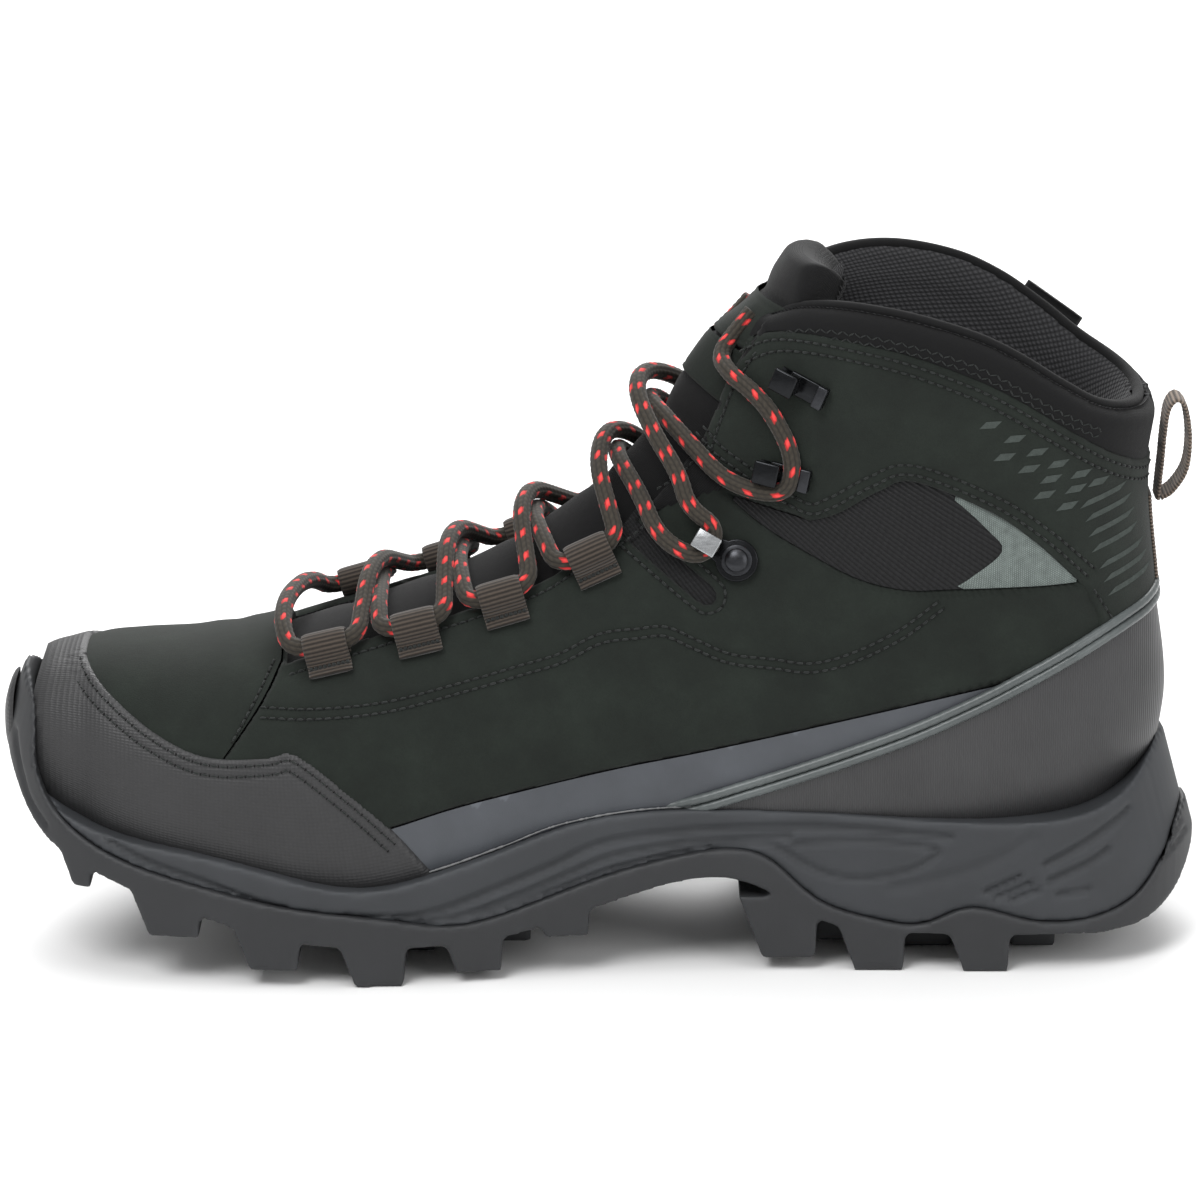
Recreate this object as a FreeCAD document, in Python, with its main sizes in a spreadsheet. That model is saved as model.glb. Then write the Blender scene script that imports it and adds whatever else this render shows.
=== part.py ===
"""Right-foot hiking boot, about EU 42, built the way the real boot is built.

Millimetres. The toe points to -X, the heel to +X, the medial (inner) side is -Y,
+Z is up and the ground is z = 0. The origin is under the middle of the boot's box.

The upper follows one moulded shape, called the last here. The last is cut by a fan of
section planes: upright planes from the toe to FAN_X, then planes that turn about the
line (FAN_X, FAN_Z) until they face the leg opening. Every layer of the upper is the
space between two envelopes of that shape at different insets, cut to its own outline
in the side view.
"""
import FreeCAD, Part
import math
import os

Vector = FreeCAD.Vector

# ---------------------------------------------------------------- driving dimensions
DIMENSIONS = {
    "sole_plate": 2.6,
    "sole_wall": 3.4,
    "lug_width": 17.0,
    "leather": 1.6,
    "backer": 1.0,
    "lining": 1.0,
    "collar_pad": 5.2,
    "collar_mesh": 0.9,
    "tongue_drop": 4.0,
    "tongue_skin": 1.0,
    "tongue_pad": 4.6,
    "tongue_mesh": 0.8,
    "board_inset": 16.0,
    "shank_length": 96.0,
    "shank_width": 22.0,
    "shank_thickness": 1.2,
    "footbed_thickness": 4.5,
    "footbed_gap": 0.7,
    "lace_diameter": 4.5,
    "webbing_width": 11.0,
    "webbing_thickness": 0.9,
    "webbing_tail": 6.5,
    "plate_radius": 4.3,
    "plate_arm": 11.0,
    "plate_thickness": 1.2,
    "rivet_radius": 3.3,
    "rivet_shaft": 1.6,
    "rivet_crown": 1.6,
    "loop_gap": 0.8,
    "hook_width": 3.8,
    "lip_length": 5.6,
    "lip_height": 6.1,
    "speed_length": 13.0,
    "speed_width": 4.6,
    "boss_height": 2.4,
    "piping_diameter": 2.8,
    "strap_thickness": 1.2,
    "pull_width": 12.0,
    "patch_thickness": 1.2,
    "patch_width": 31.0,
    "tag_width": 17.0,
    "tag_height": 9.0,
    "tag_thickness": 1.0,
}

doc = FreeCAD.newDocument("HikingBoot")
sheet = doc.addObject("Spreadsheet::Sheet", "Sizes")
for row, (alias, value) in enumerate(DIMENSIONS.items(), start=1):
    sheet.set(f"A{row}", alias)
    sheet.set(f"B{row}", str(value))
    sheet.setAlias(f"B{row}", alias)
doc.recompute()


def size(alias):
    """A driving dimension, read from the sheet."""
    return float(sheet.get(alias))


# ------------------------------------------------------------------ shape of the last
FAN_X = -92.0
FAN_Z = 223.0
FAN_STEP = 3.2      # millimetres of travel for each degree that a section plane turns
REACH = 90.0        # half-width of the tools that cut the boot in its side view

# Each station of the last: travel along the boot; distance of the sole line and of the
# instep line from the fan's axis; medial and lateral half-widths; height of the widest
# point as a share of the section; roundness below and above it; Y of the instep line.
STATIONS = [
    (-141.0, 173.5, 157.0, 17.0, 2.0, 0.48, 2.4, 2.3, -8.0),
    (-138.0, 181.0, 152.2, 24.5, 10.0, 0.46, 2.8, 2.3, -8.0),
    (-133.0, 187.5, 148.5, 31.0, 18.5, 0.44, 3.2, 2.3, -7.5),
    (-126.0, 192.5, 146.2, 36.5, 26.0, 0.42, 3.5, 2.3, -7.0),
    (-116.0, 197.0, 145.5, 41.0, 33.0, 0.40, 3.6, 2.25, -6.0),
    (-104.0, 200.5, 145.0, 44.0, 39.0, 0.38, 3.8, 2.15, -5.5),
    (-92.0, 203.5, 143.5, 45.8, 43.8, 0.36, 4.0, 2.05, -5.0),
    (-60.0, 212.0, 138.6, 47.0, 51.0, 0.34, 4.0, 1.95, -4.0),
    (-28.0, 212.3, 136.7, 42.5, 53.0, 0.33, 4.0, 1.85, -3.0),
    (4.0, 224.0, 136.5, 37.5, 47.5, 0.32, 3.8, 1.80, -2.0),
    (36.0, 256.5, 136.4, 36.0, 40.5, 0.28, 3.4, 1.82, -1.0),
    (52.0, 277.2, 136.3, 35.6, 37.5, 0.27, 3.0, 1.86, -0.5),
    (60.0, 285.0, 135.9, 35.4, 36.8, 0.27, 2.7, 1.88, 0.0),
    (68.0, 289.5, 135.3, 35.2, 36.2, 0.27, 2.45, 1.90, 0.0),
    (76.0, 289.0, 134.3, 35.0, 35.6, 0.27, 2.3, 1.92, 0.0),
    (84.0, 284.0, 133.4, 34.6, 35.2, 0.28, 2.2, 1.95, 0.0),
    (100.0, 265.6, 134.0, 34.0, 34.4, 0.33, 2.2, 2.0, 0.0),
    (116.0, 251.0, 139.1, 35.5, 36.0, 0.38, 2.2, 2.1, 0.0),
    (132.0, 244.8, 142.6, 38.0, 38.5, 0.42, 2.25, 2.25, 0.0),
    (148.0, 240.0, 145.0, 38.5, 39.0, 0.44, 2.3, 2.3, 0.0),
    (172.0, 234.0, 148.0, 38.5, 39.0, 0.44, 2.3, 2.3, 0.0),
]
TRAVELS = [station[0] for station in STATIONS]
EXTRA_TRAVELS = [-76.0, -44.0, -12.0, 20.0, 92.0, 108.0, 124.0, 160.0]


def column_slopes(column):
    """Slopes of one station column, limited so that the curve never overshoots."""
    values = [station[column] for station in STATIONS]
    steps = [b - a for a, b in zip(TRAVELS, TRAVELS[1:])]
    rises = [(b - a) / step for a, b, step in zip(values, values[1:], steps)]
    slopes = [rises[0]]
    for left, right, before, after in zip(rises, rises[1:], steps, steps[1:]):
        if left * right <= 0.0:
            slopes.append(0.0)
            continue
        blended = (left * after + right * before) / (before + after)
        limit = 3.0 * min(abs(left), abs(right))
        slopes.append(math.copysign(min(abs(blended), limit), blended))
    return slopes + [rises[-1]]


SLOPES = [column_slopes(column) for column in range(1, 9)]


def last_section(travel):
    """The eight section values of the last at a travel."""
    travel = min(max(travel, TRAVELS[0]), TRAVELS[-1])
    index = max(i for i in range(len(TRAVELS) - 1) if TRAVELS[i] <= travel)
    step = TRAVELS[index + 1] - TRAVELS[index]
    u = (travel - TRAVELS[index]) / step
    section = []
    for column in range(1, 9):
        start, end = STATIONS[index][column], STATIONS[index + 1][column]
        rise_in, rise_out = SLOPES[column - 1][index], SLOPES[column - 1][index + 1]
        value = (1 + 2 * u) * (1 - u) ** 2 * start + u * u * (3 - 2 * u) * end
        value += step * u * (1 - u) * ((1 - u) * rise_in - u * rise_out)
        section.append(value)
    return section


def fan_place(travel, radius):
    """Side-view place of a point at a distance from the fan's axis in one plane."""
    if travel <= FAN_X:
        return travel, FAN_Z - radius
    angle = math.radians(90.0 - (travel - FAN_X) / FAN_STEP)
    return FAN_X + radius * math.cos(angle), FAN_Z - radius * math.sin(angle)


def fan_travel(x, z):
    """Travel of the section plane through a side-view place, and its distance."""
    if x <= FAN_X:
        return x, FAN_Z - z
    angle = math.degrees(math.atan2(FAN_Z - z, x - FAN_X))
    return FAN_X + (90.0 - angle) * FAN_STEP, math.hypot(x - FAN_X, FAN_Z - z)


def section_sides(section, inset, share):
    """Medial and lateral Y at a share of a section's height, from sole to instep."""
    medial, lateral, widest, low_power, high_power, ridge = section[2:]
    if share < widest:
        width = (1.0 - ((widest - share) / widest) ** low_power) ** (1.0 / low_power)
    else:
        width = (1.0 - ((share - widest) / (1.0 - widest)) ** high_power) ** (1.0 / high_power)
    half = (medial + lateral) / 2.0 - inset
    middle = (lateral - medial) / 2.0
    lean = max(0.0, (share - widest) / (1.0 - widest))
    lean = lean * lean * (3.0 - 2.0 * lean)
    middle += (ridge - middle) * lean
    return middle - half * width, middle + half * width


def surface_y(x, z, side, inset=0.0):
    """Y of the last's surface, inset by some millimetres, at a side-view place."""
    travel, radius = fan_travel(x, z)
    section = last_section(travel)
    low, high = section[0] - inset, section[1] + inset
    share = min(max((low - radius) / (low - high), 0.0), 1.0)
    return section_sides(section, inset, share)[0 if side < 0 else 1]


def surface_normal(x, z, side):
    """Outward normal of the last's surface at a side-view place."""
    step = 0.5
    along = (surface_y(x + step, z, side) - surface_y(x - step, z, side)) / (2 * step)
    upward = (surface_y(x, z + step, side) - surface_y(x, z - step, side)) / (2 * step)
    return Vector(-side * along, side, -side * upward).normalize()


def base_height(x):
    """Height of the last's sole line at an X."""
    low, high = -140.0, 75.0
    for _ in range(40):
        middle = (low + high) / 2.0
        if fan_place(middle, last_section(middle)[0])[0] < x:
            low = middle
        else:
            high = middle
    return fan_place(low, last_section(low)[0])[1]


# -------------------------------------------------------------------- envelope solids
SECTION_POINTS = 13
TOE_SHIFT_END = -100.0
TOE_SHIFT_SPAN = 40.0


def section_ring(travel, inset):
    """Points round one section from the sole line; the toe moves back by the inset."""
    section = last_section(travel)
    low, high = section[0] - inset, section[1] + inset
    shift = inset * min(1.0, max(0.0, (TOE_SHIFT_END - travel) / TOE_SHIFT_SPAN))
    medial, lateral = [], []
    for index in range(SECTION_POINTS):
        share = (1.0 - math.cos(math.pi * index / (SECTION_POINTS - 1))) / 2.0
        x, z = fan_place(travel + shift, low + (high - low) * share)
        near, far = section_sides(section, inset, share)
        medial.append(Vector(x, near, z))
        lateral.append(Vector(x, far, z))
    return medial + lateral[-2::-1]


def last_surface(inset):
    """The last's surface at an inset, with its end curves at the toe and at the top."""
    surface = Part.BSplineSurface()
    surface.interpolate([section_ring(travel, inset) for travel in sorted(TRAVELS + EXTRA_TRAVELS)])
    ends = [Part.Wire(surface.uIso(end).toShape()) for end in surface.bounds()[:2]]
    return surface.toShape(), ends[0], ends[1]


def solid_of(faces):
    """Closed solid of some faces."""
    shell = Part.makeShell(faces)
    shell.sewShape()
    solid = Part.Solid(shell)
    if solid.Volume < 0.0:
        solid.reverse()
    return solid


def envelope(inset):
    """Closed solid of the last's shape, inset by some millimetres."""
    skin, toe, top = last_surface(inset)
    return solid_of([skin, Part.Face(toe), Part.Face(top)])


def layer(outer_inset, thickness):
    """The space between two envelopes, closed by a ring at the leg opening's height."""
    outer, outer_toe, outer_top = last_surface(outer_inset)
    inner, inner_toe, inner_top = last_surface(outer_inset + thickness)
    rim = Part.Face([outer_top, inner_top])
    solid = solid_of([outer, Part.Face(outer_toe), inner, Part.Face(inner_toe), rim])
    solid.fix(1e-5, 1e-5, 1e-4)
    return solid


# ------------------------------------------------------------------ side-view outlines
def side_tool(*runs, tilt=0.0):
    """Prism across the boot from side-view runs: a run of three or more is a curve.

    With a tilt, the outline rises towards the lateral side by that slope.
    """
    edges = []
    ends = []
    for run in runs:
        points = [Vector(x, -REACH, z - tilt * REACH) for x, z in run]
        ends.append((points[0], points[-1]))
        if len(points) > 2:
            curve = Part.BSplineCurve()
            curve.interpolate(points)
            edges.append(curve.toShape())
        elif len(points) == 2:
            edges.append(Part.LineSegment(points[0], points[1]).toShape())
    for (_, end), (start, _) in zip(ends, ends[1:] + ends[:1]):
        if end.distanceToPoint(start) > 1e-6:
            edges.append(Part.LineSegment(end, start).toShape())
    wire = Part.Wire(Part.__sortEdges__(edges))
    return Part.Face(wire).extrude(Vector(0.0, 2 * REACH, 2 * REACH * tilt))


def side_half(side):
    """The half space on one side of the boot's middle plane."""
    start = -REACH if side < 0 else 0.0
    return Part.makeBox(400.0, REACH, 300.0, Vector(-200.0, start, -20.0))


def shifted(points, dx, dz):
    """A side-view run moved along X and Z."""
    return [(x + dx, z + dz) for x, z in points]


# The lines that the upper is cut and sewn along, in the side view.
FEATHER_LINE = [(-143.9, 60.0), (-142.4, 48.0), (-133.0, 40.5), (-104.7, 33.5),
                (-85.0, 29.2), (-58.0, 24.0), (-41.0, 27.5), (-25.0, 32.6),
                (-8.0, 38.3), (20.0, 41.3), (66.0, 39.5), (105.0, 38.0),
                (122.0, 40.0), (136.0, 45.5), (146.0, 53.0)]
THROAT_EDGE = [(-78.4, 76.7), (-51.0, 84.9), (-35.7, 89.1), (-17.9, 95.1), (-6.4, 101.5),
               (7.2, 110.0), (18.1, 122.0), (25.4, 132.0), (31.6, 147.4), (40.0, 163.5)]
COLLAR_TOP = [(40.0, 164.0), (47.6, 167.0), (58.8, 168.3), (73.4, 167.2), (89.6, 163.2),
              (101.3, 157.8), (113.3, 150.3), (125.0, 143.4), (142.0, 138.0)]
OVERLAY_TOP = [(33.0, 155.5), (39.9, 159.3), (47.6, 161.0), (58.8, 161.0), (74.2, 159.0),
               (89.7, 154.0), (101.5, 148.2), (113.5, 140.3), (126.2, 131.3), (142.0, 121.0)]
OVERLAY_LOW = [(22.0, 131.0), (27.0, 126.0), (32.9, 122.1), (41.9, 116.4), (51.0, 112.6)]
TEXTILE_TOP = [(51.0, 112.6), (57.9, 114.8), (68.0, 120.9), (76.4, 123.6), (94.4, 116.8),
               (106.4, 108.7), (117.6, 98.1)]
TEXTILE_LOW = [(117.6, 98.1), (86.9, 96.7), (75.2, 96.2), (63.4, 98.6), (51.8, 104.1),
               (40.0, 110.7), (30.0, 118.2)]
CRESCENT_EDGE = [(80.4, 122.8), (86.6, 119.0), (94.5, 111.8), (98.2, 106.5), (90.8, 99.8),
                 (85.5, 96.4)]
TOE_CAP_EDGE = [(-126.4, 79.5), (-128.6, 76.2), (-126.4, 73.5), (-120.6, 68.8),
                (-110.8, 62.2), (-101.3, 57.7), (-93.1, 56.3), (-82.3, 56.9),
                (-74.8, 57.4), (-60.3, 46.6), (-49.8, 36.8), (-38.0, 22.0)]
MUDGUARD_TOP = [(-52.0, 39.0), (-33.6, 44.1), (-0.5, 51.0), (28.0, 56.4), (65.8, 64.8),
                (104.0, 74.0)]
VAMP_SEAM = [(-79.5, 77.0), (-84.0, 69.0), (-93.5, 56.0)]
PIPING_LINE = [(19.0, 41.0), (37.4, 46.8), (56.5, 53.2), (75.3, 60.0), (94.2, 68.7),
               (112.8, 79.2), (127.6, 86.6), (141.0, 89.6)]
COLLAR_TILT = 0.08

throat_tool = side_tool([(-79.0, 130.0), (-79.0, 76.5)], THROAT_EDGE, [(44.0, 230.0)])
above_collar = side_tool(COLLAR_TOP, [(190.0, 137.0)], [(190.0, 260.0)], [(40.0, 260.0)],
                         tilt=COLLAR_TILT)

# ---------------------------------------------------------------------- finished parts
# The last is drawn about the foot's long line; the finished boot is moved sideways so
# that its box is centred on the origin.
CENTRING = FreeCAD.Placement(Vector(0.0, -2.6, 0.0), FreeCAD.Rotation())
PARTS = []


def add_shape(label, shape):
    """Keep a shape as one sub-part of the document."""
    item = doc.addObject("Part::Feature", label)
    item.Label = label
    item.Shape = shape
    item.Placement = CENTRING
    PARTS.append(item)


def largest(shape, least=1.0):
    """The shape without crumbs smaller than some cubic millimetres."""
    solids = [solid for solid in shape.Solids if solid.Volume > least]
    return solids[0] if len(solids) == 1 else Part.makeCompound(solids)


# --------------------------------------------------------- upper: outer leather panels
def trim_upper(shape):
    """Open a layer at the throat and at the leg opening."""
    return shape.cut(throat_tool).cut(above_collar)


def panel(stock, tool):
    """Cut one panel out of the layer that is left; returns the panel and the rest."""
    return stock.common(tool), stock.cut(tool)


OUTLINE_MEDIAL = [(-150.0, -12.0), (-146.0, -26.0), (-138.0, -37.0), (-125.0, -45.0),
                  (-105.0, -50.0), (-80.0, -52.5), (-54.0, -52.0), (-30.0, -48.0),
                  (0.0, -42.0), (30.0, -39.5), (60.0, -39.0), (90.0, -40.0),
                  (115.0, -39.0), (132.0, -33.0), (144.0, -20.0), (149.0, -7.0)]
OUTLINE_LATERAL = [(150.0, 0.0), (149.0, 7.0), (144.0, 21.0), (132.0, 33.0), (115.0, 39.5),
                   (90.0, 40.5), (60.0, 41.0), (30.0, 45.0), (0.0, 52.0), (-30.0, 57.0),
                   (-54.0, 57.5), (-80.0, 50.0), (-105.0, 40.0), (-125.0, 28.0),
                   (-138.0, 16.0), (-146.0, 4.0)]


def plan_prism(inset, low, high):
    """The sole's outline in plan, inset all round, as an upright prism."""
    ring = OUTLINE_MEDIAL + OUTLINE_LATERAL
    points = []
    for before, (x, y), after in zip(ring[-1:] + ring[:-1], ring, ring[1:] + ring[:1]):
        run = Vector(after[0] - before[0], after[1] - before[1], 0.0).normalize()
        points.append(Vector(x - inset * run.y, y + inset * run.x, low))
    curve = Part.BSplineCurve()
    curve.interpolate(Points=points, PeriodicFlag=True)
    return Part.Face(Part.Wire(curve.toShape())).extrude(Vector(0.0, 0.0, high - low))


board_prism = plan_prism(size("board_inset"), 0.0, 46.0)

leather_shell = layer(0.0, size("leather"))
leather = trim_upper(leather_shell).cut(board_prism)

toe_tool = side_tool(TOE_CAP_EDGE, [(-38.0, 0.0)], [(-170.0, 0.0)], [(-170.0, 79.5)])
toe_cap, leather = panel(leather, toe_tool)

heel_tool = side_tool(PIPING_LINE, [(170.0, 90.0)], [(170.0, 0.0)], [(19.0, 0.0)])
heel_counter_cover, leather = panel(leather, heel_tool)

vamp_tool = side_tool(VAMP_SEAM, [(-170.0, 40.0)], [(-170.0, 120.0)], [(-79.5, 120.0)])
vamp, leather = panel(leather, vamp_tool)

mudguard_tool = side_tool(MUDGUARD_TOP, [(104.0, 0.0)], [(-52.0, 0.0)])
mudguard, leather = panel(leather, mudguard_tool)

band_tool = side_tool(OVERLAY_TOP, [(170.0, 110.0)], [(170.0, 240.0)], [(33.0, 240.0)],
                      tilt=COLLAR_TILT)
collar_band, leather = panel(leather, band_tool)

textile_tool = side_tool(TEXTILE_TOP, TEXTILE_LOW, [(30.0, 118.2), (51.0, 112.6)])
textile, leather = panel(leather, textile_tool)
crescent_tool = side_tool(CRESCENT_EDGE, [(85.5, 80.0)], [(130.0, 80.0)], [(130.0, 130.0)],
                          [(80.4, 130.0)])
crescent, textile = panel(textile, crescent_tool)

overlay_tool = side_tool(OVERLAY_LOW, TEXTILE_TOP, [(121.5, 90.0)], [(126.0, 70.0)],
                         [(170.0, 70.0)], [(170.0, 200.0)], [(0.0, 200.0)], [(0.0, 131.0)])
ankle_overlay, quarter = panel(leather, overlay_tool)

add_shape("toe_cap", largest(toe_cap))
add_shape("vamp", largest(vamp))
add_shape("heel_counter_cover", largest(heel_counter_cover))
add_shape("collar_band", largest(collar_band))
for side, name in ((-1, "medial"), (1, "lateral")):
    half = side_half(side)
    add_shape(f"quarter_{name}", largest(quarter.common(half)))
    add_shape(f"mudguard_{name}", largest(mudguard.common(half)))
    add_shape(f"ankle_overlay_{name}", largest(ankle_overlay.common(half)))
    add_shape(f"ankle_textile_{name}", largest(textile.common(half)))
    add_shape(f"reflective_crescent_{name}", largest(crescent.common(half)))

# ------------------------------------------- upper: stiffeners, foam backing and lining
backer_inset = size("leather")
backer = trim_upper(layer(backer_inset, size("backer"))).cut(board_prism)
puff_tool = side_tool([(-98.0, 0.0)], [(-98.0, 120.0)], [(-170.0, 120.0)], [(-170.0, 0.0)])
toe_puff, backer = panel(backer, puff_tool)
stiffener_tool = side_tool([(70.0, 0.0)], [(70.0, 58.0)], [(112.8, 79.2)], [(170.0, 92.0)],
                           [(170.0, 0.0)])
heel_stiffener, backer = panel(backer, stiffener_tool)
add_shape("toe_puff", largest(toe_puff))
add_shape("heel_stiffener", largest(heel_stiffener))
for side, name in ((-1, "medial"), (1, "lateral")):
    add_shape(f"foam_backing_{name}", largest(backer.common(side_half(side)), 20.0))

lining_inset = backer_inset + size("backer")
lining = trim_upper(layer(lining_inset, size("lining"))).cut(board_prism)
forefoot_tool = side_tool([(-40.0, 0.0)], [(-66.0, 120.0)], [(-170.0, 120.0)], [(-170.0, 0.0)])
vamp_lining, lining = panel(lining, forefoot_tool)
heel_lining, lining = panel(lining, stiffener_tool)
add_shape("vamp_lining", largest(vamp_lining))
add_shape("heel_lining", largest(heel_lining))
for side, name in ((-1, "medial"), (1, "lateral")):
    add_shape(f"quarter_lining_{name}", largest(lining.common(side_half(side)), 20.0))

# ---------------------------------------------------------------- padded collar inside
collar_inset = lining_inset + size("lining")
COLLAR_PAD_FRONT = shifted(THROAT_EDGE[5:], 12.0, -5.0)
collar_zone = side_tool(COLLAR_PAD_FRONT, [(52.0, 240.0)], [(190.0, 240.0)],
                        [(190.0, 100.0)], [(100.0, 98.0)], [(46.0, 104.0)])
pad = layer(collar_inset, size("collar_pad")).common(collar_zone).cut(above_collar)
mesh_inset = collar_inset + size("collar_pad")
mesh = layer(mesh_inset, size("collar_mesh")).common(collar_zone).cut(above_collar)
for side, name in ((-1, "medial"), (1, "lateral")):
    add_shape(f"collar_padding_{name}", largest(pad.common(side_half(side))))
    add_shape(f"collar_lining_{name}", largest(mesh.common(side_half(side))))

# ----------------------------------------------------------------------------- tongue
# The tongue is split at a section plane. Its upper end flexes forward about a line in
# the front of that plane, so the plane's two faces part as it moves.
TONGUE_SPLIT = 102.5
TONGUE_END = 138.0
tongue_front = THROAT_EDGE[:-1] + [(41.5, 170.0)]
tongue_zone = side_tool([(-88.0, 130.0), (-88.0, 74.0)], shifted(tongue_front, 6.5, -5.5)[1:],
                        [(56.0, 240.0)])


def beyond(travel, inset_x=0.0):
    """Tool that holds everything past a section plane, towards the leg opening."""
    angle = math.radians(90.0 - (travel - FAN_X) / FAN_STEP)
    far = (FAN_X + 400.0 * math.cos(angle), FAN_Z - 400.0 * math.sin(angle))
    return side_tool([(FAN_X + inset_x, FAN_Z)], [far], [(far[0], far[1] + 500.0)],
                     [(FAN_X, FAN_Z + 300.0)])


tongue_layers = (
    ("tongue_cover", size("tongue_drop"), size("tongue_skin")),
    ("tongue_padding", size("tongue_drop") + size("tongue_skin"), size("tongue_pad")),
    ("tongue_lining", size("tongue_drop") + size("tongue_skin") + size("tongue_pad"),
     size("tongue_mesh")),
)
past_split = beyond(TONGUE_SPLIT)
past_gap = beyond(TONGUE_SPLIT + 0.6)
past_end = beyond(TONGUE_END)
# Under the flaps at the sides, the upper end keeps clear of the lining at its full flex.
FLEX_LINE = Vector(28.5, 0.0, 155.7)
FLEX_DEGREES = 8.5
flexed_inside = envelope(collar_inset + 0.15)
flexed_inside.rotate(FLEX_LINE, Vector(0, -1, 0), -FLEX_DEGREES)
flaps = side_tool(shifted(tongue_front, -1.6, 1.0), [(190.0, 171.0)], [(190.0, 60.0)],
                  [(-80.0, 60.0)])
under_flaps = flaps.cut(flexed_inside)
tongue_shapes = {}
for name, inset, thickness in tongue_layers:
    whole = layer(inset, thickness).common(tongue_zone)
    tongue_shapes[name] = whole.cut(past_split)
    tongue_shapes[name + "_top"] = whole.common(past_gap).cut(past_end).cut(under_flaps)

# ------------------------------------------------------------------------ cords: tubes
def tube(points, diameter):
    """Round tube of straight runs joined by tangent arcs; returns it and its radii."""
    places = [Vector(*point) for point in points]
    edges = []
    radii = []
    start = places[0]
    for before, corner, after in zip(places, places[1:], places[2:]):
        inward = (corner - before)
        outward = (after - corner)
        shorter = min(inward.Length, outward.Length)
        turn = inward.getAngle(outward)
        trim = 0.45 * shorter
        radii.append(trim / math.tan(turn / 2.0))
        arc_start = corner - inward.normalize() * trim
        arc_end = corner + outward.normalize() * trim
        chord = (arc_start + arc_end) * 0.5
        to_corner = corner - chord
        sagitta = radii[-1] * (1.0 / math.cos(turn / 2.0) - 1.0)
        middle = corner - to_corner.normalize() * sagitta
        edges.append(Part.LineSegment(start, arc_start).toShape())
        edges.append(Part.Arc(arc_start, middle, arc_end).toShape())
        start = arc_end
    edges.append(Part.LineSegment(start, places[-1]).toShape())
    path = Part.Wire(edges)
    direction = (places[1] - places[0]).normalize()
    ring = Part.Wire(Part.makeCircle(diameter / 2.0, places[0], direction))
    solid = path.makePipeShell([ring], True, False)
    return solid, radii, path.Length


# --------------------------------------------------------------------------- the sole
SOLE_BOTTOM = [(-152.0, 62.0), (-147.0, 48.0), (-140.0, 36.0), (-126.0, 27.5),
               (-99.0, 17.5), (-74.0, 11.0), (-50.0, 9.5), (-24.0, 11.0), (-2.0, 17.0),
               (14.0, 22.0), (30.0, 24.0), (41.0, 20.5), (54.0, 13.0), (78.0, 9.5),
               (120.0, 9.0), (140.0, 12.0), (148.0, 20.0), (152.0, 30.0)]
SOLE_TOP = [(-152.0, 74.0), (-144.0, 66.0), (-138.0, 45.0), (-126.5, 34.5),
            (-101.0, 25.5), (-76.0, 19.8), (-51.0, 16.4), (-38.0, 14.5), (-20.0, 18.0),
            (-1.0, 24.5), (18.0, 29.5), (40.0, 29.5), (53.0, 18.5), (68.0, 13.0),
            (80.0, 12.0), (90.0, 16.0), (104.0, 13.5), (125.0, 13.5), (134.0, 17.5),
            (143.0, 29.0), (152.0, 36.0)]

sole_block = plan_prism(0.0, -5.0, 100.0)
sole_core = plan_prism(size("sole_wall"), -5.0, 100.0)
below_top = side_tool(SOLE_TOP, [(152.0, -10.0)], [(-152.0, -10.0)])
above_bottom = side_tool(SOLE_BOTTOM, [(152.0, 120.0)], [(-152.0, 120.0)])
# The plate thins at the toe, where the upper sits closest to the ground.
plate_toe = [(-141.0, 42.0), (-134.0, 34.5), (-126.0, 29.2), (-112.0, 24.4)]
plate_top = plate_toe + shifted(SOLE_BOTTOM[4:-2], 0.0, size("sole_plate"))
above_plate = side_tool(plate_top + [(143.5, 30.0)], [(160.0, 120.0)], [(-155.0, 120.0)])
sole_shape = sole_block.common(below_top).common(above_bottom)
sole_shape = sole_shape.cut(sole_core.common(above_plate))

# Each lug of the two edge rows: its foremost and rearmost X at the foot and the height
# of its foot, from the toe to the heel.
EDGE_LUGS = [(-131.0, -126.5, 23.0), (-112.0, -99.5, 12.0), (-87.0, -75.0, 4.2),
             (-61.0, -49.0, 0.0), (-36.0, -25.0, 2.5), (-14.0, -3.5, 10.0),
             (40.0, 53.0, 3.0), (63.0, 75.0, 0.0), (90.0, 101.0, 0.0),
             (117.0, 128.5, 0.8), (133.5, 141.5, 5.0)]
CENTRE_LUGS = [(-104.0, -93.0, 9.5), (-78.0, -66.0, 2.5), (-54.0, -42.0, 0.6),
               (-29.0, -18.0, 3.0), (50.0, 62.0, 2.0), (76.0, 88.0, 0.6),
               (103.0, 114.0, 0.6)]
ROOT_DEPTH = 16.0
EDGE_SLANT = 6.0


def lug_block(front, back, foot, near, far):
    """One tread lug: a block with a slanted front flank, between two Y planes."""
    root = foot + ROOT_DEPTH
    profile = [(front, foot), (back, foot), (back + 1.0, root), (front - EDGE_SLANT, root)]
    points = [Vector(x, near, z) for x, z in profile]
    return Part.Face(Part.makePolygon(points + points[:1])).extrude(Vector(0, far - near, 0))


lug_band = plan_prism(size("lug_width"), -5.0, 60.0)
edge_ring = sole_block.cut(lug_band)
edge_stock = Part.makeCompound([
    lug_block(front, back, foot, -REACH, REACH) for front, back, foot in EDGE_LUGS])
below_plate = side_tool(shifted(SOLE_BOTTOM, 0.0, 1.2), [(152.0, -10.0)], [(-152.0, -10.0)])
edge_lugs = edge_stock.common(edge_ring).common(below_plate)
middle_lugs = Part.makeCompound([
    lug_block(front, back, foot, y - 8.0, y + 8.0)
    for front, back, foot in CENTRE_LUGS
    for y in ((-14.0, 13.0) if front > 40.0 else (-18.0, 10.0))]).common(below_plate)
outsole = sole_shape.copy().fuse(edge_lugs.Solids + middle_lugs.Solids).removeSplitter()

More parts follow.
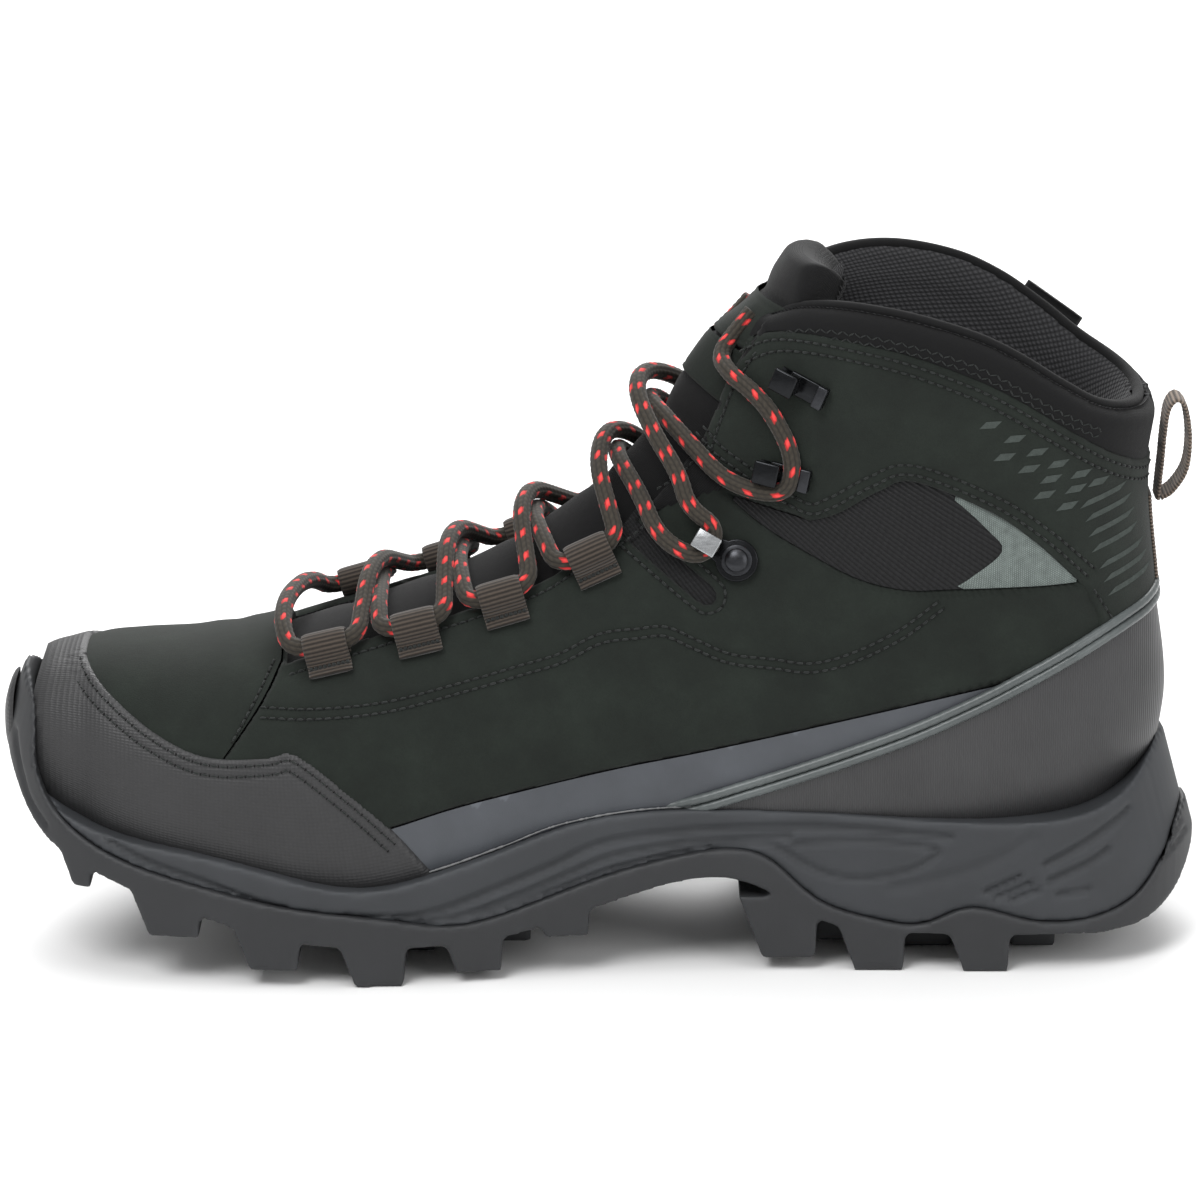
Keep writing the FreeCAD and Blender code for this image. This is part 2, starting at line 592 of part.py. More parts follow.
sole_feather = side_tool(FEATHER_LINE, [(155.0, 53.0)], [(155.0, 0.0)], [(-155.0, 0.0)],
                         [(-155.0, 60.0)])
midsole = plan_prism(1.2, 0.0, 90.0).common(sole_feather).common(above_bottom)
midsole = midsole.cut(sole_shape).cut(envelope(0.0))
add_shape("outsole", largest(outsole))

# ------------------------------------------------------- inside the sole and footbed
SHANK_START = -20.0
shank_end = SHANK_START + size("shank_length")
shank_low = [(x, base_height(x) + 0.15)
             for x in (SHANK_START, SHANK_START + 30.0, shank_end - 30.0, shank_end)]
shank_high = [(x, z + size("shank_thickness")) for x, z in reversed(shank_low)]
shank_profile = side_tool(shank_low, shank_high)
shank_width = size("shank_width")
shank = shank_profile.common(Part.makeBox(300.0, shank_width, 60.0,
                                          Vector(-150.0, 1.0 - shank_width / 2.0, 0.0)))
filler = leather_shell.common(board_prism).cut(shank)
board = layer(backer_inset, size("backer") + size("lining")).common(board_prism)
add_shape("midsole", largest(midsole.cut(shank), 200.0))
add_shape("shank", shank)
add_shape("bottom_filler", largest(filler, 20.0))
add_shape("insole_board", largest(board, 20.0))

footbed_inset = collar_inset + size("footbed_gap")
bed_line = [(x, base_height(x) + collar_inset + 0.4 + size("footbed_thickness"))
            for x in (-128.0, -110.0, -90.0, -70.0, -55.0, -35.0, -15.0, 10.0, 40.0, 70.0,
                      95.0, 112.0)]
bed_tool = side_tool(bed_line + [(126.0, 41.0), (134.0, 52.0)], [(134.0, 0.0)],
                     [(-128.0, 0.0)])
footbed = envelope(footbed_inset).common(bed_tool)
add_shape("footbed", largest(footbed))

# ------------------------------------------------------------------------ lace hardware
def surface_frame(x, z, side, along_x, along_z, lift=0.0):
    """Placement on the last: local X along a side-view direction, local Z outward."""
    normal = surface_normal(x, z, side)
    point = Vector(x, surface_y(x, z, side), z) + normal * lift
    along = Vector(along_x, 0.0, along_z)
    along = (along - normal * along.dot(normal)).normalize()
    across = normal.cross(along)
    matrix = FreeCAD.Matrix(along.x, across.x, normal.x, point.x,
                            along.y, across.y, normal.y, point.y,
                            along.z, across.z, normal.z, point.z,
                            0.0, 0.0, 0.0, 1.0)
    return FreeCAD.Placement(matrix)


def bound(kind, name, **bindings):
    """A Part primitive whose sizes are expressions of the sheet's cells."""
    item = doc.addObject(f"Part::{kind}", name)
    for prop, expression in bindings.items():
        item.setExpression(prop.replace("_", "."), expression)
    return item


def combine(kind, name, base, tool):
    """A Part boolean of two objects."""
    item = doc.addObject(f"Part::{kind}", name)
    item.Base = base
    item.Tool = tool
    return item


def keep(item, label, placement):
    """Keep a document object as a sub-part, with its label and its place."""
    item.Label = label
    item.Placement = CENTRING * placement
    PARTS.append(item)


def axis_turn(item, turn_axis, degrees, base=(0.0, 0.0, 0.0)):
    """Turn a primitive about an axis through the local origin and move it."""
    item.Placement = FreeCAD.Placement(Vector(*base), FreeCAD.Rotation(Vector(*turn_axis), degrees))
    return item


def webbing_loop(label, placement):
    """Webbing folded round the lace: a sleeve along local X with a flat sewn tail."""
    outer = bound("Cylinder", f"{label}_fold", Height="Sizes.webbing_width",
                  Radius="Sizes.lace_diameter / 2 + Sizes.loop_gap + Sizes.webbing_thickness")
    inner = bound("Cylinder", f"{label}_bore", Height="Sizes.webbing_width + 2",
                  Radius="Sizes.lace_diameter / 2 + Sizes.loop_gap")
    tail = bound("Box", f"{label}_tail", Length="Sizes.webbing_width",
                 Width="Sizes.webbing_tail", Height="Sizes.webbing_thickness * 2")
    half = size("webbing_width") / 2.0
    rise = size("lace_diameter") / 2.0 + size("loop_gap") + size("webbing_thickness")
    axis_turn(outer, (0, 1, 0), 90.0, (-half, 0.0, rise))
    axis_turn(inner, (0, 1, 0), 90.0, (-half - 1.0, 0.0, rise))
    tail.Placement = FreeCAD.Placement(Vector(-half, -size("webbing_tail"), 0.0),
                                       FreeCAD.Rotation())
    sleeve = combine("Fuse", f"{label}_sleeve", outer, tail)
    loop = combine("Cut", f"{label}_body", sleeve, inner)
    loop.Placement = placement
    return loop


# Side-view places of the webbing loops' lace axes, from the toe up, on each side.
LOOPS = {
    "medial": (-1, [(-67.3, 78.6), (-45.5, 84.0), (-24.5, 91.2), (-2.5, 101.4)]),
    "lateral": (1, [(-60.5, 81.0), (-38.8, 86.8), (-17.9, 94.6), (4.1, 105.6)]),
}
LOOP_SLOPES = [0.22, 0.28, 0.36, 0.52]
LOOP_LIFT = 0.4
for name, (side, places) in LOOPS.items():
    loops = []
    for index, ((x, z), slope) in enumerate(zip(places, LOOP_SLOPES), start=1):
        # Local Y points up the instep on both sides, so local X turns with the side.
        frame = surface_frame(x, z, side, -side, -side * slope, lift=LOOP_LIFT)
        loops.append(webbing_loop(f"loop_{name}_{index}", frame))
    row = doc.addObject("Part::Compound", f"loops_{name}")
    row.Links = loops
    keep(row, f"lace_loops_{name}", FreeCAD.Placement())


def riveted_hook(label, placement):
    """Plate with a round riveted end, an arm and a neck whose lip turns back over it."""
    disc = bound("Cylinder", f"{label}_disc", Radius="Sizes.plate_radius",
                 Height="Sizes.plate_thickness")
    arm = bound("Box", f"{label}_arm", Length="Sizes.plate_arm", Width="Sizes.hook_width",
                Height="Sizes.plate_thickness")
    neck = bound("Box", f"{label}_neck", Length="Sizes.plate_thickness",
                 Width="Sizes.hook_width",
                 Height="Sizes.lip_height + Sizes.plate_thickness")
    lip = bound("Box", f"{label}_lip", Length="Sizes.lip_length", Width="Sizes.hook_width",
                Height="Sizes.plate_thickness")
    hole = bound("Cylinder", f"{label}_hole", Radius="Sizes.rivet_shaft",
                 Height="Sizes.plate_thickness * 3")
    half = size("hook_width") / 2.0
    reach = size("plate_arm")
    arm.Placement.Base = Vector(0.0, -half, 0.0)
    neck.Placement.Base = Vector(reach - size("plate_thickness"), -half, 0.0)
    lip.Placement.Base = Vector(reach - size("lip_length"), -half, size("lip_height"))
    hole.Placement.Base = Vector(0.0, 0.0, -size("plate_thickness"))
    plate = combine("Fuse", f"{label}_plate", disc, arm)
    hook = combine("Fuse", f"{label}_claw", neck, lip)
    whole = combine("Fuse", f"{label}_whole", plate, hook)
    keep(combine("Cut", f"{label}_body", whole, hole), label, placement)


def speed_hook(label, placement):
    """Open hook: a flat base with a raised tab on a neck and a low boss behind it."""
    base = bound("Box", f"{label}_base", Length="Sizes.speed_length",
                 Width="Sizes.speed_width", Height="Sizes.plate_thickness")
    neck = bound("Box", f"{label}_neck", Length="Sizes.plate_thickness * 2",
                 Width="Sizes.speed_width", Height="Sizes.lip_height")
    tab = bound("Box", f"{label}_tab", Length="Sizes.lip_length", Width="Sizes.speed_width",
                Height="Sizes.plate_thickness")
    boss = bound("Box", f"{label}_boss", Length="Sizes.plate_thickness * 2",
                 Width="Sizes.speed_width", Height="Sizes.boss_height")
    half = size("speed_width") / 2.0
    rear = -size("speed_length") * 0.56
    base.Placement.Base = Vector(rear, -half, 0.0)
    boss.Placement.Base = Vector(rear, -half, 0.0)
    neck.Placement.Base = Vector(0.0, -half, 0.0)
    tab.Placement.Base = Vector(0.0, -half, size("lip_height") - size("plate_thickness"))
    front = combine("Fuse", f"{label}_front", neck, tab)
    back = combine("Fuse", f"{label}_back", base, boss)
    keep(combine("Fuse", f"{label}_body", front, back), label, placement)


def rivet(label, placement):
    """Rivet: a short shaft in the plate's hole under a domed head."""
    shaft = bound("Cylinder", f"{label}_shaft", Radius="Sizes.rivet_shaft - 0.05",
                  Height="Sizes.plate_thickness + 0.4")
    head = bound("Ellipsoid", f"{label}_head", Radius1="Sizes.rivet_crown",
                 Radius2="Sizes.rivet_radius", Radius3="Sizes.rivet_radius")
    head.Angle1 = 0.0
    shaft.Placement.Base = Vector(0.0, 0.0, -0.2)
    head.Placement.Base = Vector(0.0, 0.0, size("plate_thickness") + 0.02)
    keep(combine("Fuse", f"{label}_body", shaft, head), label, placement)


# Rivet centre of the ankle hooks and neck of the speed hooks on each side, with the
# side-view direction in which the tongue pulls the lace.
HARDWARE = {
    "medial": (-1, (33.4, 102.2), [(44.5, 124.0), (49.0, 146.4)]),
    "lateral": (1, (36.6, 104.4), [(45.5, 126.0), (49.9, 148.0)]),
}
ANKLE_PULL = (-0.85, 0.51)
SPEED_PULLS = [(-1.0, 0.2), (-1.0, 0.4)]
PLATE_LIFT = 0.3
for name, (side, ankle, speeds) in HARDWARE.items():
    frame = surface_frame(*ankle, side, *ANKLE_PULL, lift=PLATE_LIFT)
    riveted_hook(f"ankle_hook_{name}", frame)
    rivet(f"ankle_rivet_{name}", frame)
    for index, (place, pull) in enumerate(zip(speeds, SPEED_PULLS), start=1):
        speed_hook(f"speed_hook_{name}_{index}", surface_frame(*place, side, *pull, lift=PLATE_LIFT))

# --------------------------------------------------------------------------- the lace
# From the lateral keeper down to the toe and back up to the medial keeper. The short
# turns are the folds in the webbing loops and the turns round the hooks.
LACE_ROUTE = [
    (37.2, 8.0, 161.0), (34.0, 8.5, 157.0), (28.6, 12.0, 151.0), (31.3, 20.0, 148.0),
    (36.5, 23.8, 144.8),
    (41.8, 27.0, 139.5), (48.3, 29.1, 130.7), (46.4, 29.5, 120.9), (32.0, 25.6, 123.2),
    (26.0, 22.0, 132.0), (19.0, 15.5, 139.5), (10.5, 6.0, 143.5), (8.0, -6.0, 141.0),
    (12.5, -17.0, 132.5), (19.0, -23.5, 123.5), (21.0, -26.4, 115.9), (29.0, -27.5, 110.4),
    (24.4, -29.3, 102.9), (14.0, -27.6, 108.0), (9.5, -18.5, 117.0), (4.0, -7.0, 123.5),
    (3.5, 5.0, 124.0), (8.0, 14.5, 118.5), (10.0, 22.5, 111.0),
    (-4.5, 22.5, 104.0), (-11.0, 14.0, 108.5), (-18.0, 3.5, 113.5), (-20.5, -9.0, 111.0),
    (-19.0, -19.5, 103.0), (-17.5, -28.0, 96.0),
    (-33.0, -29.5, 91.5), (-35.0, -20.0, 96.0), (-36.0, -8.5, 98.5), (-35.5, 4.5, 98.0),
    (-34.5, 16.5, 96.0), (-32.5, 25.5, 92.0),
    (-48.0, 25.5, 87.5), (-51.5, 15.5, 91.0), (-55.5, 3.5, 95.5), (-58.5, -10.0, 94.5),
    (-59.5, -22.0, 88.5), (-60.5, -32.0, 83.5),
    (-76.5, -31.5, 80.0), (-79.5, -24.0, 85.0), (-79.0, -12.0, 88.5), (-76.0, 3.0, 88.8),
    (-73.0, 15.0, 86.5), (-69.5, 23.5, 82.0),
    (-54.0, 24.0, 86.5), (-55.0, 14.5, 89.5), (-55.5, 3.0, 90.5), (-55.5, -10.5, 90.5),
    (-55.5, -22.0, 89.0), (-54.5, -31.5, 85.0),
    (-39.0, -31.5, 89.0), (-39.0, -22.0, 94.5), (-39.0, -10.0, 102.0), (-36.5, 3.0, 103.5),
    (-31.5, 15.0, 98.5), (-27.0, 24.0, 94.5),
    (-11.5, 24.0, 100.0), (-14.5, 15.5, 104.5), (-16.5, 5.0, 108.0), (-17.0, -7.0, 108.5),
    (-14.5, -17.5, 105.5), (-11.0, -26.0, 100.0),
    (4.0, -24.5, 106.5), (1.5, -20.0, 114.5), (-1.5, -11.0, 123.5), (1.0, 1.0, 129.5),
    (8.5, 12.0, 125.5), (14.0, 21.5, 117.0), (17.1, 26.9, 109.7), (27.5, 28.9, 104.8),
    (31.9, 27.8, 112.5), (23.9, 26.5, 117.8), (21.0, 22.5, 126.5), (14.5, 13.0, 134.5),
    (11.0, 3.0, 137.0), (14.5, -9.0, 136.0), (21.5, -18.0, 130.0), (31.0, -25.3, 121.2),
    (45.4, -29.1, 118.8), (47.3, -28.9, 128.6), (41.8, -27.0, 139.5), (36.5, -23.8, 144.8),
    (31.3, -20.0, 148.0), (28.6, -12.0, 151.0), (34.0, -8.5, 157.0), (37.2, -8.0, 161.0),
]
lace, lace_radii, lace_length = tube(LACE_ROUTE, size("lace_diameter"))
print(f"lace {lace_length:.0f} mm, tightest bend {min(lace_radii):.1f} mm")
expected = math.pi * size("lace_diameter") ** 2 / 4.0 * lace_length
print(f"lace volume ratio {lace.Volume / expected:.4f}")
# The soft lace is pressed flat where it bears on the hooks and in the loops.
doc.recompute()
for item in PARTS:
    if item.Label.startswith(("lace_loops", "ankle_hook", "speed_hook")):
        pressing = item.Shape.copy()
        pressing.translate(CENTRING.Base * -1.0)
        lace = lace.cut(pressing)
lace = largest(lace)
add_shape("lace", lace)

# --------------------------------------------------- tongue parts round the lace's ends
POCKET_RADIUS = 4.6
pockets = []
for ends in (LACE_ROUTE[:3], LACE_ROUTE[-3:][::-1]):
    deep, entry = Vector(*ends[0]), Vector(*ends[2])
    reach = (deep - entry).Length + 3.0
    pockets.append(Part.makeCylinder(POCKET_RADIUS, reach, entry, deep - entry))
for name, shape in tongue_shapes.items():
    for pocket in pockets:
        shape = shape.cut(pocket)
    add_shape(name, largest(shape, 20.0))

patch_half = size("patch_width") / 2.0
patch_box = Part.makeBox(200.0, 2 * patch_half, 200.0, Vector(-60.0, -patch_half, 60.0))
patch_layer = layer(size("tongue_drop") - size("patch_thickness"), size("patch_thickness"))
patch_layer = patch_layer.common(patch_box).common(side_tool([(-40.0, 260.0)], [(-92.0, 223.0)],
                                                            [(60.0, 120.0)], [(90.0, 260.0)]))
patch_layer = patch_layer.cut(lining).cut(backer)
patch_low = patch_layer.common(beyond(84.0)).cut(past_split).cut(lace)
patch_top = patch_layer.common(past_gap).cut(beyond(130.0)).cut(under_flaps)
for pocket in pockets:
    patch_top = patch_top.cut(pocket)
add_shape("tongue_patch", largest(patch_low))
add_shape("tongue_patch_top", largest(patch_top, 20.0))

gusset_tool = side_tool(shifted(THROAT_EDGE[:7], 1.0, -1.4), shifted(THROAT_EDGE[6::-1], 9.0, -9.0))
gusset = layer(collar_inset + 0.1, 0.7).common(gusset_tool)
for name, shape in tongue_shapes.items():
    gusset = gusset.cut(shape)
gusset = gusset.cut(pad)
for side, name in ((-1, "medial"), (1, "lateral")):
    add_shape(f"tongue_gusset_{name}", largest(gusset.common(side_half(side)), 5.0))

# ----------------------------------------------------------- heel: piping, strap, loop
def surface_point(x, z, side, lift):
    """Point on the last's surface, lifted along its normal."""
    point = Vector(x, surface_y(x, z, side), z)
    return point + surface_normal(x, z, side) * lift


PIPING_STATIONS = [(30.0, 44.6), (46.0, 49.6), (62.0, 55.0), (78.0, 61.0), (94.0, 68.5),
                   (107.0, 75.6), (118.0, 81.8), (126.5, 86.0), (133.0, 88.2)]
piping_radius = size("piping_diameter") / 2.0
piping_lift = piping_radius + 0.45
for name, shift in (("upper", 1.6), ("lower", -1.6)):
    medial = [surface_point(x, z + shift, -1, piping_lift) for x, z in PIPING_STATIONS]
    lateral = [surface_point(x, z + shift, 1, piping_lift) for x, z in PIPING_STATIONS[::-1]]
    heel = [Vector(141.2, -8.5, 89.6 + shift), Vector(141.2, 8.5, 89.6 + shift)]
    piping, radii, _ = tube(medial + heel + lateral, size("piping_diameter"))
    print(f"{name} piping, tightest bend {min(radii):.1f} mm")
    add_shape(f"heel_piping_{name}", piping)

pull_half = size("pull_width") / 2.0
pull_zone = Part.makeBox(40.0, 2 * pull_half, 18.0, Vector(115.0, -pull_half, 93.5))
strap = layer(-size("strap_thickness"), size("strap_thickness")).common(pull_zone)
add_shape("heel_strap", largest(strap))

PULL_BASE = (138.6, 112.6)
pull_outer = side_tool([PULL_BASE, (138.9, 119.0), (139.6, 130.0), (140.7, 136.2),
                        (143.2, 138.4), (145.9, 136.2), (147.2, 128.0), (146.4, 119.5),
                        (142.4, 113.6), PULL_BASE])
pull_inner = side_tool([(140.0, 115.2), (140.2, 120.0), (140.8, 129.0), (141.7, 135.3),
                        (143.2, 137.1), (144.8, 135.3), (146.0, 128.0), (145.2, 120.0),
                        (142.1, 115.4), (140.0, 115.2)])
pull = pull_outer.cut(pull_inner)
pull = pull.common(Part.makeBox(40.0, 2 * pull_half, 60.0, Vector(120.0, -pull_half, 100.0)))
add_shape("heel_pull_loop", largest(pull))

tag = bound("Box", "tag_blank", Length="Sizes.tag_width", Width="Sizes.tag_height",
            Height="Sizes.tag_thickness")
tag_frame = surface_frame(113.0, 150.8, 1, 0.84, -0.54, lift=0.3)
tag_corner = Vector(-size("tag_width") / 2.0, -size("tag_height") / 2.0, 0.0)
keep(tag, "side_tag", tag_frame * FreeCAD.Placement(tag_corner, FreeCAD.Rotation()))

# ------------------------------------------------------------------ checks and output
doc.recompute()
for item in doc.Objects:
    if "Invalid" in item.State or "Error" in item.State:
        raise RuntimeError(f"{item.Label} failed: {item.State}")
for item in PARTS:
    if item.Shape.isNull() or not item.Shape.isValid() or item.Shape.Volume <= 0.0:
        raise RuntimeError(f"{item.Label} has no valid shape")
os.makedirs("parts", exist_ok=True)
for item in PARTS:
    item.Shape.exportStep(f"parts/{item.Label}.step")
    print(f"{item.Label}: {len(item.Shape.Solids)} solids, {item.Shape.Volume:.0f} mm3")
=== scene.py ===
"""Looks of a right-foot hiking boot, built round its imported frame. Metres in Blender; the
shape of the last and the outlines below are in millimetres, in the boot's own frame."""
import math
import bpy
import bmesh
import numpy as np
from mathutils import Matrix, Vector, kdtree


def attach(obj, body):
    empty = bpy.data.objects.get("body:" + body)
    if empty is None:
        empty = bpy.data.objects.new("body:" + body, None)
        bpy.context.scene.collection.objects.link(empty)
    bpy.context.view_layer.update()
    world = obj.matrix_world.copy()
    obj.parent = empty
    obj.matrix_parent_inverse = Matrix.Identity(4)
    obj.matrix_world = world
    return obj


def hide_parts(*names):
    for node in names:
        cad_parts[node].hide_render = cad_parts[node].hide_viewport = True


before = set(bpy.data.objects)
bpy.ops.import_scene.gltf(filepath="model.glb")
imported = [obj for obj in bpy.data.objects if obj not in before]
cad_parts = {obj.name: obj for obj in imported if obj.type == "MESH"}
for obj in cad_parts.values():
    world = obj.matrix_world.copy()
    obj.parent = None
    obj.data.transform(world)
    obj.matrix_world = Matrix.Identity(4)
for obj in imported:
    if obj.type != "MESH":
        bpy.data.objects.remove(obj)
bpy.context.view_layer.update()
MM = 0.001
rng = np.random.default_rng(7)

# ------------------------------------------------------------------ shape of the last
FAN_X, FAN_Z, FAN_STEP = -92.0, 223.0, 3.2
CENTRE_Y = -2.6
# travel, sole and instep radius, medial and lateral half-width, widest share, roundness
# below and above it, Y of the instep line
STATIONS = np.array([
    (-141.0, 173.5, 157.0, 17.0, 2.0, 0.48, 2.4, 2.3, -8.0),
    (-138.0, 181.0, 152.2, 24.5, 10.0, 0.46, 2.8, 2.3, -8.0),
    (-133.0, 187.5, 148.5, 31.0, 18.5, 0.44, 3.2, 2.3, -7.5),
    (-126.0, 192.5, 146.2, 36.5, 26.0, 0.42, 3.5, 2.3, -7.0),
    (-116.0, 197.0, 145.5, 41.0, 33.0, 0.40, 3.6, 2.25, -6.0),
    (-104.0, 200.5, 145.0, 44.0, 39.0, 0.38, 3.8, 2.15, -5.5),
    (-92.0, 203.5, 143.5, 45.8, 43.8, 0.36, 4.0, 2.05, -5.0),
    (-60.0, 212.0, 138.6, 47.0, 51.0, 0.34, 4.0, 1.95, -4.0),
    (-28.0, 212.3, 136.7, 42.5, 53.0, 0.33, 4.0, 1.85, -3.0),
    (4.0, 224.0, 136.5, 37.5, 47.5, 0.32, 3.8, 1.80, -2.0),
    (36.0, 256.5, 136.4, 36.0, 40.5, 0.28, 3.4, 1.82, -1.0),
    (52.0, 277.2, 136.3, 35.6, 37.5, 0.27, 3.0, 1.86, -0.5),
    (60.0, 285.0, 135.9, 35.4, 36.8, 0.27, 2.7, 1.88, 0.0),
    (68.0, 289.5, 135.3, 35.2, 36.2, 0.27, 2.45, 1.90, 0.0),
    (76.0, 289.0, 134.3, 35.0, 35.6, 0.27, 2.3, 1.92, 0.0),
    (84.0, 284.0, 133.4, 34.6, 35.2, 0.28, 2.2, 1.95, 0.0),
    (100.0, 265.6, 134.0, 34.0, 34.4, 0.33, 2.2, 2.0, 0.0),
    (116.0, 251.0, 139.1, 35.5, 36.0, 0.38, 2.2, 2.1, 0.0),
    (132.0, 244.8, 142.6, 38.0, 38.5, 0.42, 2.25, 2.25, 0.0),
    (148.0, 240.0, 145.0, 38.5, 39.0, 0.44, 2.3, 2.3, 0.0),
    (172.0, 234.0, 148.0, 38.5, 39.0, 0.44, 2.3, 2.3, 0.0),
])
TRAVELS = STATIONS[:, 0]
VALUES = STATIONS[:, 1:]


def limited_slopes():
    """Slopes of the station columns, limited so that no curve overshoots."""
    steps = np.diff(TRAVELS)
    rises = np.diff(VALUES, axis=0) / steps[:, None]
    slopes = np.zeros_like(VALUES)
    slopes[0], slopes[-1] = rises[0], rises[-1]
    for i in range(1, len(TRAVELS) - 1):
        left, right = rises[i - 1], rises[i]
        blend = (left * steps[i] + right * steps[i - 1]) / (steps[i - 1] + steps[i])
        limit = 3.0 * np.minimum(abs(left), abs(right))
        limited = np.sign(blend) * np.minimum(abs(blend), limit)
        slopes[i] = np.where(left * right <= 0.0, 0.0, limited)
    return slopes


SLOPES = limited_slopes()


def section(travel):
    """The eight section values of the last at each travel, as rows."""
    travel = np.clip(np.asarray(travel, float), TRAVELS[0], TRAVELS[-1])
    i = np.clip(np.searchsorted(TRAVELS, travel) - 1, 0, len(TRAVELS) - 2)
    step = (TRAVELS[i + 1] - TRAVELS[i])[..., None]
    u = (travel - TRAVELS[i])[..., None] / step
    value = (1 + 2 * u) * (1 - u) ** 2 * VALUES[i] + u * u * (3 - 2 * u) * VALUES[i + 1]
    value = value + step * u * (1 - u) * ((1 - u) * SLOPES[i] - u * SLOPES[i + 1])
    return np.moveaxis(value, -1, 0)


def skin(travel, turn, inset=0.0):
    """Point of the last's skin, in mm. The turn goes round the boot: 0 at the sole and
    heel lines, pi at the instep line, positive on the medial side."""
    travel, turn, inset = np.broadcast_arrays(np.asarray(travel, float), turn, inset)
    low, high, medial, lateral, widest, low_power, high_power, ridge = section(travel)
    low, high = low - inset, high + inset
    share = (1.0 - np.cos(turn)) / 2.0
    below = np.clip((widest - share) / widest, 0.0, 1.0)
    above = np.clip((share - widest) / (1.0 - widest), 0.0, 1.0)
    width = np.where(share < widest, (1.0 - below ** low_power) ** (1.0 / low_power),
                     (1.0 - above ** high_power) ** (1.0 / high_power))
    middle = (lateral - medial) / 2.0
    middle = middle + (ridge - middle) * above * above * (3.0 - 2.0 * above)
    side = np.where(np.sin(turn) >= 0.0, -1.0, 1.0)
    y = middle + side * width * ((medial + lateral) / 2.0 - inset)
    shift = inset * np.clip((-100.0 - travel) / 40.0, 0.0, 1.0)
    radius = low + (high - low) * share
    place = travel + shift
    angle = np.radians(90.0 - (place - FAN_X) / FAN_STEP)
    toe = place <= FAN_X
    x = np.where(toe, place, FAN_X + radius * np.cos(angle))
    z = np.where(toe, FAN_Z - radius, FAN_Z - radius * np.sin(angle))
    return np.stack([x, y + CENTRE_Y, z], axis=-1)


def skin_normal(travel, turn):
    """Outward normal of the last's skin."""
    along = skin(travel + 0.4, turn) - skin(travel - 0.4, turn)
    around = skin(travel, turn + 0.01) - skin(travel, turn - 0.01)
    normal = np.cross(along, around)
    length = np.linalg.norm(normal, axis=-1, keepdims=True)
    return normal / np.maximum(length, 1e-9)


def side_place(x, z, side):
    """Travel and turn of a side-view place on one side; side is -1 medial, +1 lateral.
    Also says which places lie on the boot."""
    x, z = np.asarray(x, float), np.asarray(z, float)
    angle = np.degrees(np.arctan2(FAN_Z - z, x - FAN_X))
    toe = x <= FAN_X
    travel = np.where(toe, x, FAN_X + (90.0 - angle) * FAN_STEP)
    radius = np.where(toe, FAN_Z - z, np.hypot(x - FAN_X, FAN_Z - z))
    values = section(travel)
    share = (values[0] - radius) / (values[0] - values[1])
    on_boot = (share >= 0.0) & (share <= 1.0) & (travel >= TRAVELS[0]) & (travel <= TRAVELS[-1])
    turn = np.arccos(1.0 - 2.0 * np.clip(share, 0.0, 1.0))
    return travel, -side * turn, on_boot


def tilted_place(x, z, side, tilt, rounds=6):
    """Like side_place, for a line that rises by the tilt for each mm towards the far side."""
    travel, turn, good = side_place(x, z, side)
    for _ in range(rounds if tilt else 0):
        y = skin(travel, turn)[..., 1] - CENTRE_Y
        travel, turn, good = side_place(x, z + tilt * y, side)
    return travel, turn, good


def on_skin(x, z, side, lift=0.0, tilt=0.0):
    """3-D points on one side of the boot, from side-view places."""
    travel, turn, _ = tilted_place(x, z, side, tilt)
    return skin(travel, turn) + skin_normal(travel, turn) * lift


# ------------------------------------------------------------- outlines, side view, mm
FEATHER_LINE = [(-143.9, 60.0), (-142.4, 48.0), (-133.0, 40.5), (-104.7, 33.5),
                (-85.0, 29.2), (-58.0, 24.0), (-41.0, 27.5), (-25.0, 32.6),
                (-8.0, 38.3), (20.0, 41.3), (66.0, 39.5), (105.0, 38.0),
                (122.0, 40.0), (136.0, 45.5), (146.0, 53.0)]
THROAT_EDGE = [(-78.4, 76.7), (-51.0, 84.9), (-35.7, 89.1), (-17.9, 95.1), (-6.4, 101.5),
               (7.2, 110.0), (18.1, 122.0), (25.4, 132.0), (31.6, 147.4), (40.0, 163.5)]
COLLAR_TOP = [(40.0, 164.0), (47.6, 167.0), (58.8, 168.3), (73.4, 167.2), (89.6, 163.2),
              (101.3, 157.8), (113.3, 150.3), (125.0, 143.4), (142.0, 138.0)]
OVERLAY_TOP = [(33.0, 155.5), (39.9, 159.3), (47.6, 161.0), (58.8, 161.0), (74.2, 159.0),
               (89.7, 154.0), (101.5, 148.2), (113.5, 140.3), (126.2, 131.3), (142.0, 121.0)]
OVERLAY_LOW = [(22.0, 131.0), (27.0, 126.0), (32.9, 122.1), (41.9, 116.4), (51.0, 112.6)]
TEXTILE_TOP = [(51.0, 112.6), (57.9, 114.8), (68.0, 120.9), (76.4, 123.6), (94.4, 116.8),
               (106.4, 108.7), (117.6, 98.1)]
TEXTILE_LOW = [(117.6, 98.1), (86.9, 96.7), (75.2, 96.2), (63.4, 98.6), (51.8, 104.1),
               (40.0, 110.7), (30.0, 118.2)]
CRESCENT_EDGE = [(80.4, 122.8), (86.6, 119.0), (94.5, 111.8), (98.2, 106.5), (90.8, 99.8),
                 (85.5, 96.4)]
TOE_CAP_EDGE = [(-126.4, 79.5), (-128.6, 76.2), (-126.4, 73.5), (-120.6, 68.8),
                (-110.8, 62.2), (-101.3, 57.7), (-93.1, 56.3), (-82.3, 56.9),
                (-74.8, 57.4), (-60.3, 46.6), (-49.8, 36.8), (-38.0, 22.0)]
MUDGUARD_TOP = [(-52.0, 39.0), (-33.6, 44.1), (-0.5, 51.0), (28.0, 56.4), (65.8, 64.8),
                (104.0, 74.0)]
VAMP_SEAM = [(-79.5, 77.0), (-84.0, 69.0), (-93.5, 56.0)]
